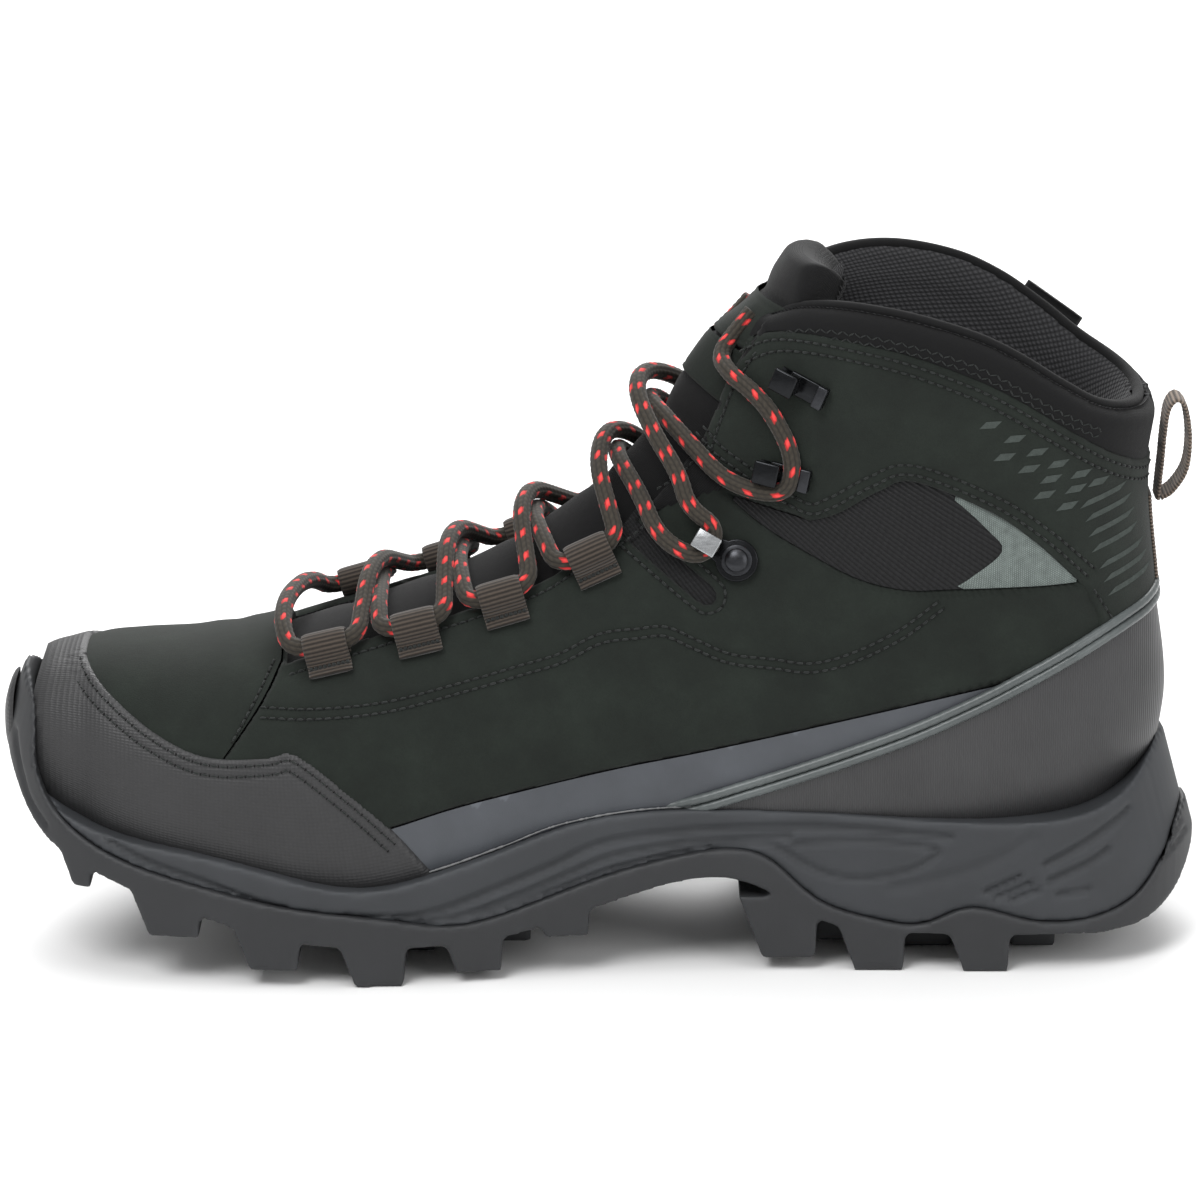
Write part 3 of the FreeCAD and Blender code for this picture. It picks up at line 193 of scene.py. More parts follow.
PIPING_LINE = [(19.0, 41.0), (37.4, 46.8), (56.5, 53.2), (75.3, 60.0), (94.2, 68.7),
               (112.8, 79.2), (127.6, 86.6), (141.0, 89.6)]
COLLAR_TILT = 0.08


def shifted(points, dx, dz):
    """A side-view run moved along X and Z."""
    return [(x + dx, z + dz) for x, z in points]


def smooth_run(points, spacing):
    """A run of points as a dense line: three or more points make a smooth curve."""
    points = np.array(points, float)
    if len(points) > 2:
        ends = np.vstack([2 * points[0] - points[1], points, 2 * points[-1] - points[-2]])
        pieces = []
        for a, b, c, d in zip(ends, ends[1:], ends[2:], ends[3:]):
            count = max(2, int(np.linalg.norm(c - b) / spacing))
            u = np.arange(count)[:, None] / count
            pieces.append(0.5 * (2 * b + (c - a) * u + (2 * a - 5 * b + 4 * c - d) * u * u
                                 + (3 * b - a - 3 * c + d) * u ** 3))
        return np.vstack(pieces + [points[-1:]])
    count = max(2, int(np.linalg.norm(points[-1] - points[0]) / spacing))
    return points[0] + (points[-1] - points[0]) * np.linspace(0, 1, count)[:, None]


def outline(*runs, spacing=0.6):
    """A closed side-view outline from runs, joined by straight lines."""
    pieces = [smooth_run(run, spacing) if len(run) > 1 else np.array(run, float)
              for run in runs]
    closed = []
    for piece, after in zip(pieces, pieces[1:] + pieces[:1]):
        closed.append(piece)
        gap = np.linalg.norm(after[0] - piece[-1])
        if gap > spacing:
            closed.append(smooth_run([piece[-1], after[0]], spacing)[1:-1])
    return np.vstack(closed)


def inside(shape, x, z):
    """Which places lie inside a closed outline."""
    x, z = np.ravel(x), np.ravel(z)
    ax, az = shape[:, 0], shape[:, 1]
    bx, bz = np.roll(ax, -1), np.roll(az, -1)
    result = np.zeros(len(x), bool)
    box = (x > ax.min()) & (x < ax.max()) & (z > az.min()) & (z < az.max())
    for chunk in np.array_split(np.flatnonzero(box), max(1, box.sum() // 4000)):
        px, pz = x[chunk, None], z[chunk, None]
        spans = (az <= pz) != (bz <= pz)
        cross = ax + (pz - az) * (bx - ax) / np.where(bz == az, 1e-9, bz - az)
        result[chunk] = (spans & (px < cross)).sum(axis=1) % 2 == 1
    return result


# ---------------------------------------------------------------------- mesh helpers
def mesh_object(name, points, faces, material, body="boot", uv=None, smooth=True):
    """A mesh object from points in mm, riding on a body."""
    mesh = bpy.data.meshes.new(name)
    mesh.from_pydata((np.asarray(points) * MM).tolist(), [], [tuple(f) for f in faces])
    if uv is not None:
        layer = mesh.uv_layers.new(name="surface")
        loops = np.zeros(len(mesh.loops), int)
        mesh.loops.foreach_get("vertex_index", loops)
        layer.data.foreach_set("uv", np.asarray(uv, float)[loops].ravel())
    mesh.validate()
    mesh.shade_smooth() if smooth else None
    item = bpy.data.objects.new(name, mesh)
    bpy.context.collection.objects.link(item)
    item.data.materials.append(material)
    finish_piece(item, body)
    return item


def finish_piece(item, body):
    """Declare a finished piece: its body."""
    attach(item, body)


def grid_faces(rows, columns, closed=False):
    """Quads of a grid of rows and columns; closed joins the last column to the first."""
    faces = []
    for r in range(rows - 1):
        for c in range(columns if closed else columns - 1):
            d = (c + 1) % columns
            faces.append((r * columns + c, r * columns + d, (r + 1) * columns + d,
                          (r + 1) * columns + c))
    return faces


def tree_of(points):
    """A search tree of points."""
    tree = kdtree.KDTree(len(points))
    for index, point in enumerate(points):
        tree.insert(point, index)
    tree.balance()
    return tree


def nearest(tree, points):
    """Index of and distance to the nearest point of a tree, for each point."""
    found = [tree.find(point)[1:] for point in points]
    return np.array([f[0] for f in found]), np.array([f[1] for f in found])


TURN_MM = 38.0      # millimetres of surface for each radian of turn, about
GRID_MM = 0.85


class Region:
    """An area of the last's skin: inside every outline, on the named sides.

    Outlines and holes are pairs of a closed side-view line and its tilt.
    """

    def __init__(self, outlines, sides=(-1, 1), holes=(), turns=(0.0, 2 * math.pi)):
        self.outlines = outlines
        self.holes = list(holes)
        self.sides = sides
        self.turns = turns

    def holds(self, points, turn, skip=None):
        """Which skin points lie in the region."""
        good = np.ones(len(points), bool)
        side = np.where(np.sin(turn) >= 0.0, -1, 1)
        good &= np.isin(side, self.sides)
        for items, wanted in ((self.outlines, True), (self.holes, False)):
            for item in items:
                if item is not skip:
                    z = points[:, 2] - item[1] * (points[:, 1] - CENTRE_Y)
                    good &= inside(item[0], points[:, 0], z) == wanted
        return good

    def border(self):
        """Travel, turn and 3-D point of dense samples along the region's border."""
        travels, turns = [], []
        for item in self.outlines + self.holes:
            shape, tilt = item
            fine = np.vstack([smooth_run([a, b], 0.12)[:-1] for a, b in
                              zip(shape, np.roll(shape, -1, axis=0))])
            for side in self.sides:
                travel, turn, good = tilted_place(fine[:, 0], fine[:, 1], side, tilt)
                ends = np.flatnonzero(good[:-1] != good[1:])
                ends = np.where(good[ends], ends, ends + 1)
                for i in ends:
                    middle = 0.0 if abs(turn[i]) < 1.5 else math.copysign(math.pi, turn[i])
                    extra = np.linspace(turn[i], middle, int(abs(turn[i] - middle) * 130) + 2)
                    travel = np.concatenate([travel, np.full(len(extra), travel[i])])
                    turn = np.concatenate([turn, extra])
                    good = np.concatenate([good, np.ones(len(extra), bool)])
                travel, turn = travel[good], turn[good]
                points = skin(travel, turn)
                keep = self.holds(points, turn, skip=item)
                travels.append(travel[keep])
                turns.append(turn[keep])
        travel, turn = np.concatenate(travels), np.concatenate(turns)
        if self.turns[0] >= 0.0:
            turn = np.mod(turn, 2 * math.pi)
        points = skin(travel, turn)
        _, first = np.unique(np.round(points / 0.3).astype(int), axis=0, return_index=True)
        return travel[first], turn[first], points[first]

    def grid(self, step=GRID_MM):
        """Skin coordinates and faces of the region, with its rim laid on the border."""
        edge_travel, edge_turn, edge_points = self.border()
        travel = np.arange(max(edge_travel.min() - 4.0, TRAVELS[0]),
                           min(edge_travel.max() + 4.0, TRAVELS[-1]), step)
        turn = np.arange(self.turns[0], self.turns[1] + step / TURN_MM, step / TURN_MM)
        tt, aa = np.meshgrid(travel, turn, indexing="ij")
        shape = tt.shape
        tt, aa = tt.ravel(), aa.ravel()
        points = skin(tt, aa)
        held = self.holds(points, aa)
        tree = tree_of(edge_points)
        near = np.flatnonzero(held)
        _, distance = nearest(tree, points[near])
        held[near[distance < 0.35 * step]] = False
        index = np.arange(len(tt)).reshape(shape)
        quads = np.stack([index[:-1, :-1], index[:-1, 1:], index[1:, 1:], index[1:, :-1]],
                         axis=-1).reshape(-1, 4)
        quads = quads[held[quads].any(axis=1)]
        used = np.unique(quads)
        outer = used[~held[used]]
        match, distance = nearest(tree, points[outer])
        close = distance < 3.0 * step
        tt[outer[close]], aa[outer[close]] = edge_travel[match[close]], edge_turn[match[close]]
        lost = np.zeros(len(tt), bool)
        lost[outer[~close]] = True
        quads = quads[~lost[quads].any(axis=1)]
        used = np.unique(quads)
        renumber = np.full(len(tt), -1)
        renumber[used] = np.arange(len(used))
        tt, aa, quads = tt[used], aa[used], renumber[quads]
        _, distance = nearest(tree, skin(tt, aa))
        return tt, aa, quads, distance


def rolled(distance, radius, depth):
    """Drop of a rolled edge at a distance from it."""
    u = np.clip(1.0 - distance / radius, 0.0, 1.0)
    return -depth * (1.0 - np.sqrt(np.maximum(1.0 - u * u, 0.0)))


def groove(points, lines, depth=0.28, width=0.75):
    """Dip of the surface along stitched lines."""
    drop = np.zeros(len(points))
    if len(lines):
        _, distance = nearest(tree_of(np.vstack(lines)), points)
        drop -= depth * np.exp(-(distance / width) ** 2)
    return drop


def panel(name, region, material, replaced, lift, roll=0.9, depth=1.2, grooves=(),
          relief=None, body="boot"):
    """A sewn panel on the last's skin, with a rolled edge, at a lift in mm."""
    travel, turn, quads, distance = region.grid()
    points = skin(travel, turn)
    height = lift + rolled(distance, roll, depth) + groove(points, list(grooves))
    if relief is not None:
        height = height + relief(travel, turn, points, distance)
    placed = points + skin_normal(travel, turn) * height[:, None]
    uv = np.stack([travel, turn * TURN_MM], axis=-1)
    item = mesh_object(name, placed, quads, material, body, uv)
    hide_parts(*replaced)
    return item


# -------------------------------------------------------------------------- materials
def linear(red, green, blue):
    """A display colour from 0 to 255 as linear values."""
    values = [c / 255.0 for c in (red, green, blue)]
    return tuple(c / 12.92 if c <= 0.04045 else ((c + 0.055) / 1.055) ** 2.4
                 for c in values) + (1.0,)


class Shade:
    """A material with a few helpers for its node tree."""

    def __init__(self, name, colour, roughness, **sockets):
        self.material = bpy.data.materials.new(name)
        self.material.use_nodes = True
        self.tree = self.material.node_tree
        self.shader = self.tree.nodes["Principled BSDF"]
        self.shader.inputs["Base Color"].default_value = colour
        self.shader.inputs["Roughness"].default_value = roughness
        for socket, value in sockets.items():
            self.shader.inputs[socket.replace("_", " ")].default_value = value

    def node(self, kind, settings=(), **inputs):
        """A node; inputs are values or other nodes' output sockets."""
        item = self.tree.nodes.new(kind)
        for key, value in dict(settings).items():
            setattr(item, key, value)
        for key, value in inputs.items():
            socket = item.inputs[int(key[1:])] if key[0] == "_" else item.inputs[key]
            if isinstance(value, bpy.types.NodeSocket):
                self.tree.links.new(value, socket)
            else:
                socket.default_value = value
        return item

    def math(self, operation, first, second=0.0, clamp=False):
        """A Math node's output."""
        settings = {"operation": operation, "use_clamp": clamp}
        return self.node("ShaderNodeMath", settings, _0=first, _1=second).outputs[0]

    def place(self, scale=(1.0, 1.0, 1.0), surface=True, angle=0.0):
        """Texture coordinates in mm: along the skin, or in space."""
        if surface:
            source = self.node("ShaderNodeUVMap", {"uv_map": "surface"}).outputs[0]
        else:
            source = self.node("ShaderNodeTexCoord").outputs["Object"]
            scale = tuple(s * 1000.0 for s in scale)
        return self.node("ShaderNodeMapping", Vector=source, Scale=scale,
                         Rotation=(0.0, 0.0, angle)).outputs[0]

    def noise(self, place, scale, detail=2.0, rough=0.5):
        """A noise texture's value."""
        return self.node("ShaderNodeTexNoise", Vector=place, Scale=scale, Detail=detail,
                         Roughness=rough).outputs[0]

    def wave(self, place, scale, distortion=0.0, direction="X"):
        """A band texture's value."""
        return self.node("ShaderNodeTexWave", {"bands_direction": direction}, Vector=place,
                         Scale=scale, Distortion=distortion).outputs[1]

    def cells(self, place, scale, feature="F1", randomness=1.0):
        """A Voronoi texture's distance."""
        return self.node("ShaderNodeTexVoronoi", {"feature": feature}, Vector=place,
                         Scale=scale, Randomness=randomness).outputs["Distance"]

    def ramp(self, value, *stops):
        """A colour ramp of (place, colour) stops."""
        item = self.node("ShaderNodeValToRGB", Fac=value)
        elements = item.color_ramp.elements
        while len(elements) < len(stops):
            elements.new(0.5)
        for element, (place, colour) in zip(elements, stops):
            element.position = place
            element.color = colour
        return item.outputs[0]

    def colour(self, socket):
        """Link the base colour."""
        self.tree.links.new(socket, self.shader.inputs["Base Color"])

    def roughness(self, socket, low, high):
        """Vary the roughness between two values."""
        spread = self.node("ShaderNodeMapRange", Value=socket, _3=low, _4=high).outputs[0]
        self.tree.links.new(spread, self.shader.inputs["Roughness"])

    def bump(self, *layers):
        """Stack bumps of (height socket, strength, distance in mm)."""
        normal = None
        for height, strength, distance in layers:
            item = self.node("ShaderNodeBump", Height=height, Strength=strength,
                             Distance=distance * MM)
            if normal is not None:
                self.tree.links.new(normal, item.inputs["Normal"])
            normal = item.outputs[0]
        self.tree.links.new(normal, self.shader.inputs["Normal"])


def tone(colour, factor):
    """A colour made lighter or darker."""
    return tuple(c * factor for c in colour[:3]) + (1.0,)


def nubuck():
    """Brushed leather: mottled, matte, with a fine nap."""
    base = linear(25, 30, 26)
    shade = Shade("nubuck", base, 0.9, Sheen_Weight=0.07, Sheen_Roughness=0.6,
                  Specular_IOR_Level=0.16)
    space = shade.place(surface=False)
    patches = shade.noise(space, 0.06, 4.0, 0.65)
    nap = shade.noise(space, 1.6, 3.0, 0.7)
    mixed = shade.math("ADD", shade.math("MULTIPLY", patches, 0.75), shade.math("MULTIPLY", nap, 0.25))
    shade.colour(shade.ramp(mixed, (0.3, tone(base, 0.62)), (0.52, base), (0.72, tone(base, 1.5))))
    shade.roughness(patches, 0.82, 0.96)
    shade.bump((shade.noise(space, 2.6, 3.0, 0.75), 0.35, 0.25), (patches, 0.25, 0.8))
    return shade.material


def coated(name="coated_leather", base=linear(41, 41, 42), ribs=False):
    """Embossed, rubbery coating of the toe cap, or the ribbed one of the heel."""
    shade = Shade(name, base, 0.5, Specular_IOR_Level=0.4)
    skin_place = shade.place()
    space = shade.place(surface=False)
    patches = shade.noise(space, 0.05, 3.0, 0.6)
    if ribs:
        lines = shade.wave(space, 0.55, 0.6, "X")
        relief = shade.math("MULTIPLY", lines, 1.0)
    else:
        relief = shade.cells(skin_place, 0.95, "F1", 0.12)
    shade.colour(shade.ramp(shade.math("ADD", shade.math("MULTIPLY", patches, 0.6),
                                       shade.math("MULTIPLY", relief, 0.4)),
                            (0.25, tone(base, 1.25)), (0.6, base), (0.85, tone(base, 0.7))))
    shade.roughness(patches, 0.42, 0.6)
    if ribs:
        shade.bump((relief, 0.35, 0.25), (shade.noise(space, 3.0, 2.0), 0.15, 0.1))
    else:
        shade.bump((relief, 0.6, -0.3), (shade.noise(space, 3.0, 2.0), 0.15, 0.1))
    return shade.material


def cloth(name, base, across=1.1, strength=0.5, depth=0.25, ribbed=False, sheen=0.15):
    """Woven cloth: crossed threads, or ribs."""
    shade = Shade(name, base, 0.9, Sheen_Weight=sheen, Sheen_Roughness=0.5,
                  Specular_IOR_Level=0.2)
    place = shade.place()
    space = shade.place(surface=False)
    warp = shade.wave(place, across, 0.4, "X")
    weft = shade.wave(place, across, 0.4, "Y")
    if ribbed:
        weave = shade.math("ADD", warp, shade.math("MULTIPLY", weft, 0.25))
    else:
        weave = shade.math("MULTIPLY", warp, weft)
    fuzz = shade.noise(space, 0.5, 3.0, 0.7)
    mixed = shade.math("ADD", shade.math("MULTIPLY", weave, 0.5), shade.math("MULTIPLY", fuzz, 0.5))
    shade.colour(shade.ramp(mixed, (0.15, tone(base, 0.55)), (0.5, base), (0.85, tone(base, 1.8))))
    shade.roughness(fuzz, 0.82, 0.96)
    shade.bump((weave, strength, depth), (fuzz, 0.3, 0.3))
    return shade.material


def mesh_lining():
    """Coarse spacer mesh: round cells with pale knots."""
    base = linear(31, 31, 33)
    shade = Shade("lining_mesh", base, 0.85, Sheen_Weight=0.1, Specular_IOR_Level=0.25)
    place = shade.place(scale=(1.0, 1.0, 1.0), angle=0.6)
    cells = shade.cells(place, 1.0, "F1", 0.08)
    shade.colour(shade.ramp(cells, (0.12, linear(50, 50, 52)), (0.4, base), (0.7, tone(base, 0.4))))
    shade.bump((cells, 0.9, -0.7), (shade.noise(place, 2.0, 2.0), 0.2, 0.15))
    return shade.material


def rubber(name, base, low=0.5, high=0.7, grain=2.2):
    """Moulded rubber or foam: fine grain, faint dust and paler worn edges."""
    shade = Shade(name, base, 0.6, Specular_IOR_Level=0.4)
    space = shade.place(surface=False)
    patches = shade.noise(space, 0.045, 4.0, 0.6)
    edges = shade.node("ShaderNodeNewGeometry").outputs["Pointiness"]
    worn = shade.node("ShaderNodeMapRange", Value=edges, _1=0.51, _2=0.58).outputs[0]
    mixed = shade.math("ADD", shade.math("MULTIPLY", patches, 0.7), shade.math("MULTIPLY", worn, 0.3))
    shade.colour(shade.ramp(mixed, (0.2, tone(base, 0.75)), (0.45, base), (0.8, tone(base, 1.55))))
    shade.roughness(patches, low, high)
    shade.bump((shade.noise(space, grain, 3.0, 0.6), 0.25, 0.12),)
    return shade.material


def webbing(name, base, pitch=1.0, direction="Y"):
    """Ribbed webbing: ribs across the tape and threads along it."""
    shade = Shade(name, base, 0.85, Sheen_Weight=0.15, Specular_IOR_Level=0.25)
    place = shade.place()
    other = "X" if direction == "Y" else "Y"
    ribs = shade.wave(place, 0.314 / pitch, 0.2, direction)
    threads = shade.wave(place, 1.1, 0.3, other)
    fuzz = shade.noise(place, 1.2, 2.0)
    mixed = shade.math("ADD", shade.math("MULTIPLY", ribs, 0.7), shade.math("MULTIPLY", fuzz, 0.3))
    shade.colour(shade.ramp(mixed, (0.2, tone(base, 0.35)), (0.55, base), (0.85, tone(base, 1.5))))
    shade.bump((ribs, 0.7, 0.3), (threads, 0.35, 0.12))
    return shade.material


def lace_yarn():
    """Braided yarn: brown-black strands, with red tracer strands marked on the mesh."""
    base = linear(48, 43, 36)
    shade = Shade("lace_yarn", base, 0.8, Sheen_Weight=0.12, Specular_IOR_Level=0.3)
    marks = shade.node("ShaderNodeAttribute", {"attribute_name": "tracer"}).outputs["Fac"]
    height = shade.node("ShaderNodeAttribute", {"attribute_name": "strand"}).outputs["Fac"]
    plain = shade.ramp(height, (0.0, tone(base, 0.22)), (0.5, tone(base, 0.8)), (1.0, tone(base, 1.3)))
    red = shade.ramp(height, (0.0, tone(linear(170, 34, 36), 0.5)), (0.6, linear(208, 50, 50)),
                     (1.0, linear(226, 74, 70)))
    mixed = shade.node("ShaderNodeMix", {"data_type": "RGBA"}, _0=marks, _6=plain, _7=red)
    shade.colour(mixed.outputs[2])
    return shade.material


def metal(name, base, roughness):
    """Coated or bare metal with fine scratches."""
    shade = Shade(name, base, roughness, Metallic=0.85)
    space = shade.place(scale=(0.25, 1.0, 1.0), surface=False)
    marks = shade.noise(space, 1.2, 4.0, 0.7)
    shade.colour(shade.ramp(marks, (0.3, tone(base, 0.75)), (0.7, tone(base, 1.25))))
    shade.roughness(marks, roughness * 0.7, roughness * 1.4)
    shade.bump((marks, 0.08, 0.05),)
    return shade.material


BLACK_CLOTH = linear(21, 21, 22)
MATERIALS = {
    "nubuck": nubuck(),
    "coated_leather": coated(),
    "heel_coating": coated("heel_coating", linear(49, 49, 50), ribs=True),
    "grey_synthetic": rubber("grey_synthetic", linear(70, 73, 78), 0.45, 0.6, 3.0),
    "softshell": cloth("softshell", linear(15, 15, 16), 1.3, 0.3, 0.15, sheen=0.06),
    "tongue_cloth": cloth("tongue_cloth", linear(18, 18, 19), 0.9, 0.45, 0.25, sheen=0.08),
    "ribbed_textile": cloth("ribbed_textile", BLACK_CLOTH, 0.33, 0.8, 0.4, ribbed=True),
    "reflective_film": cloth("reflective_film", linear(103, 111, 108), 0.9, 0.35, 0.12, sheen=0.0),
    "lining_mesh": mesh_lining(),
    "sole_rubber": rubber("sole_rubber", linear(41, 42, 44)),
    "midsole_foam": rubber("midsole_foam", linear(50, 52, 55), 0.55, 0.75),
    "webbing": webbing("webbing", linear(58, 51, 45)),
    "pull_webbing": webbing("pull_webbing", linear(104, 92, 82), 0.9),
    "lace_cord": lace_yarn(),
    "rivet_metal": metal("rivet_metal", linear(52, 53, 56), 0.3),
    "dark_metal": metal("dark_metal", linear(30, 31, 33), 0.22),
    # Pale grey for the ankle hook's tab, laid only on its top face: painted highlight.
    "bright_metal": metal("bright_metal", linear(160, 162, 164), 0.25),
    "piping": rubber("piping", linear(76, 81, 81), 0.25, 0.4),
    "thread": cloth("thread", linear(38, 41, 40), 1.2, 0.3, 0.1),
    "pale_marks": cloth("pale_marks", linear(66, 72, 69), 1.4, 0.2, 0.08, sheen=0.0),
    "footbed_foam": cloth("footbed_foam", linear(70, 70, 72), 0.8, 0.5, 0.2),
    "tag_film": rubber("tag_film", linear(24, 24, 25), 0.4, 0.6),
    # Near-black for the dots at the needle holes: painted shade of the holes.
    "painted_hole_shade": rubber("painted_hole_shade", linear(8, 8, 8), 0.8, 0.95),
    "glue": rubber("glue", linear(96, 97, 98), 0.5, 0.7),
}

# ---------------------------------------------------------------------- upper's panels
BELOW_FEATHER = outline(shifted(FEATHER_LINE, 0.0, -5.0), [(165.0, 55.0)], [(165.0, 250.0)],
                        [(-170.0, 250.0)], [(-170.0, 60.0)])
ABOVE_THROAT = outline(THROAT_EDGE, [(40.0, 300.0)], [(-78.4, 300.0)])
UNDER_COLLAR = outline(COLLAR_TOP, [(170.0, 138.0)], [(170.0, -10.0)], [(-170.0, -10.0)],
                       [(-170.0, 164.0)])
TOE_SHAPE = outline(TOE_CAP_EDGE, [(-38.0, 0.0)], [(-170.0, 0.0)], [(-170.0, 79.5)])
HEEL_SHAPE = outline(PIPING_LINE, [(170.0, 90.0)], [(170.0, 0.0)], [(19.0, 0.0)])
VAMP_SHAPE = outline(VAMP_SEAM, [(-170.0, 40.0)], [(-170.0, 120.0)], [(-79.5, 120.0)])
GUARD_SHAPE = outline(MUDGUARD_TOP, [(104.0, 0.0)], [(-52.0, 0.0)])
BAND_SHAPE = outline(OVERLAY_TOP, [(170.0, 110.0)], [(170.0, 240.0)], [(33.0, 240.0)])
TEXTILE_SHAPE = outline(TEXTILE_TOP, TEXTILE_LOW, [(30.0, 118.2), (51.0, 112.6)])
CRESCENT_SHAPE = outline(CRESCENT_EDGE, [(85.5, 80.0)], [(130.0, 80.0)], [(130.0, 130.0)],
                         [(80.4, 130.0)])
OVERLAY_SHAPE = outline(OVERLAY_LOW, TEXTILE_TOP, [(121.5, 90.0)], [(126.0, 70.0)],
                        [(170.0, 70.0)], [(170.0, 200.0)], [(0.0, 200.0)], [(0.0, 131.0)])
FLAP_SHAPE = outline(THROAT_EDGE[5:-1], [(40.5, 161.5)], [(36.8, 154.5), (31.2, 145.0), (27.6, 135.6),
                     (25.2, 128.4), (27.5, 121.0)])
SLOT_SHAPE = outline([(4.6, 107.6), (23.2, 92.9)], [(25.2, 91.7), (27.4, 92.1), (28.1, 94.2), (26.9, 96.0)],
                     [(26.9, 96.0), (8.2, 110.8)], spacing=0.4)

UPPER = [(BELOW_FEATHER, 0.0), (UNDER_COLLAR, COLLAR_TILT)]
THROAT = [(ABOVE_THROAT, 0.0)]
HALVES = (("medial", -1, (0.0, math.pi)), ("lateral", 1, (math.pi, 2 * math.pi)))
HEEL_TURNS = (-math.pi, math.pi)

QUARTER_SEAM = [(-84.6, 66.6), (-71.2, 66.6), (-52.2, 68.7), (-33.5, 73.1), (-21.0, 76.3),
                (-10.4, 79.1), (-0.5, 83.6), (8.9, 84.8), (15.6, 85.3), (23.2, 82.2),
                (31.6, 78.9), (42.0, 77.7), (51.4, 76.7), (61.0, 79.0), (73.0, 84.9),
                (83.5, 92.9)]


def skin_line(places, side, lift=0.0, spacing=0.3, tilt=0.0):
    """3-D points on the skin along a smooth side-view line."""
    run = smooth_run(places, spacing)
    return on_skin(run[:, 0], run[:, 1], side, lift, tilt)


def offset_line(places, gap):
    """A side-view line moved sideways by a gap."""
    run = smooth_run(places, 1.0)
    along = np.gradient(run, axis=0)
    along /= np.linalg.norm(along, axis=1)[:, None]
    return run + np.stack([-along[:, 1], along[:, 0]], axis=1) * gap


def evenly(points, spacing):
    """A line resampled at an even spacing; returns it and its length."""
    steps = np.linalg.norm(np.diff(points, axis=0), axis=1)
    reach = np.concatenate([[0.0], np.cumsum(steps)])
    places = np.linspace(0.0, reach[-1], int(reach[-1] / spacing) + 1)
    return np.stack([np.interp(places, reach, points[:, k]) for k in range(3)], axis=1), reach[-1]


def frames_along(line):
    """Tangents and two turned-along normals of a line, without twist."""
    tangent = np.gradient(line, axis=0)
    tangent /= np.linalg.norm(tangent, axis=1)[:, None]
    first = np.zeros_like(line)
    guess = np.cross(tangent[0], [0.0, 0.0, 1.0])
    first[0] = guess / np.linalg.norm(guess)
    for i in range(1, len(line)):
        moved = first[i - 1] - tangent[i] * first[i - 1].dot(tangent[i])
        first[i] = moved / np.linalg.norm(moved)
    return tangent, first, np.cross(tangent, first)


def rings_along(line, radius, sides):
    """Rings of points round a line, with a radius for each of its points."""
    _, first, second = frames_along(line)
    angle = np.linspace(0, 2 * math.pi, sides, endpoint=False)
    wide, high = radius[:, None] * np.cos(angle), radius[:, None] * np.sin(angle)
    rings = (line[:, None, :] + first[:, None, :] * wide[..., None]
             + second[:, None, :] * high[..., None])
    return rings, angle


STITCHES = {}


def stitch(group, points, pitch=2.3, radius=0.26, length=0.74, waver=0.0, phase=0.0):
    """Stitches along a 3-D line, each a thread that dips into the leather at its ends."""
    points = np.asarray(points, float)
    steps = np.linalg.norm(np.diff(points, axis=0), axis=1)
    reach = np.concatenate([[0.0], np.cumsum(steps)])
    count = int(reach[-1] / pitch)
    if count < 1:
        return
    starts = (np.arange(count) + 0.5 * (1.0 - length) + phase) * reach[-1] / count
    u = np.linspace(0.0, 1.0, 6)
    places = starts[:, None] + u[None, :] * pitch * length
    line = np.stack([np.interp(places, reach, points[:, k]) for k in range(3)], axis=-1)
    STITCHES.setdefault(group, []).append((line, radius, waver))


def seam(group, points, pitch=2.3, radius=0.28):
    """A row of stitches, with near-black dots between them at the needle holes: painted shade of the holes.
    """
    stitch(group, points, pitch, radius, 0.68)
    # Near-black dots at the needle holes: painted shade.
    stitch(group + "_holes", points - outward(points) * 0.06, pitch, 0.36, 0.2, phase=0.5)


def outward(points):
    """Approximate outward normals of the boot at 3-D points."""
    angle = np.degrees(np.arctan2(FAN_Z - points[..., 2], points[..., 0] - FAN_X))
    travel = np.where(points[..., 0] <= FAN_X, points[..., 0], FAN_X + (90.0 - angle) * FAN_STEP)
    radius = np.where(points[..., 0] <= FAN_X, FAN_Z - points[..., 2],
                      np.hypot(points[..., 0] - FAN_X, FAN_Z - points[..., 2]))
    values = section(travel)
    share = np.clip((values[0] - radius) / (values[0] - values[1]), 0.002, 0.998)
    turn = np.arccos(1.0 - 2.0 * share) * np.where(points[..., 1] < CENTRE_Y, 1.0, -1.0)
    return skin_normal(np.clip(travel, TRAVELS[0] + 0.5, TRAVELS[-1] - 0.5), turn)


def thread_mesh(group, material, body="boot"):
    """One piece of all the stitches of a group."""
    rings, faces, total, sides = [], [], 0, 6
    angles = np.linspace(0, 2 * math.pi, sides, endpoint=False)
    for line, radius, waver in STITCHES[group]:
        count, rows, _ = line.shape
        normal = outward(line)
        along = np.gradient(line, axis=1)
        along /= np.maximum(np.linalg.norm(along, axis=-1, keepdims=True), 1e-9)
        across = np.cross(along, normal)
        across /= np.maximum(np.linalg.norm(across, axis=-1, keepdims=True), 1e-9)
        u = np.linspace(0.0, 1.0, rows)
        arch = np.sin(math.pi * u) ** 0.5 * radius * 1.1 - radius * 0.55
        thick = radius * (0.45 + 0.55 * np.sin(math.pi * u) ** 0.4)
        sway = waver * np.where(np.arange(count) % 2, 1.0, -1.0)[:, None] * (2 * u - 1)[None, :]
        centre = line + normal * arch[None, :, None] + across * sway[..., None]
        ring = (centre[:, :, None, :]
                + across[:, :, None, :] * (np.cos(angles)[None, None, :, None] * thick[None, :, None, None])
                + normal[:, :, None, :] * (np.sin(angles)[None, None, :, None] * thick[None, :, None, None]))
        rings.append(ring.reshape(-1, 3))
        base = np.array(grid_faces(rows, sides, closed=True))
        for index in range(count):
            faces.append(base + total + index * rows * sides)
        total += count * rows * sides
    item = mesh_object(f"stitching_{group}", np.vstack(rings), np.vstack(faces), material,
                       body, np.vstack(rings)[:, [0, 2]])
    return item


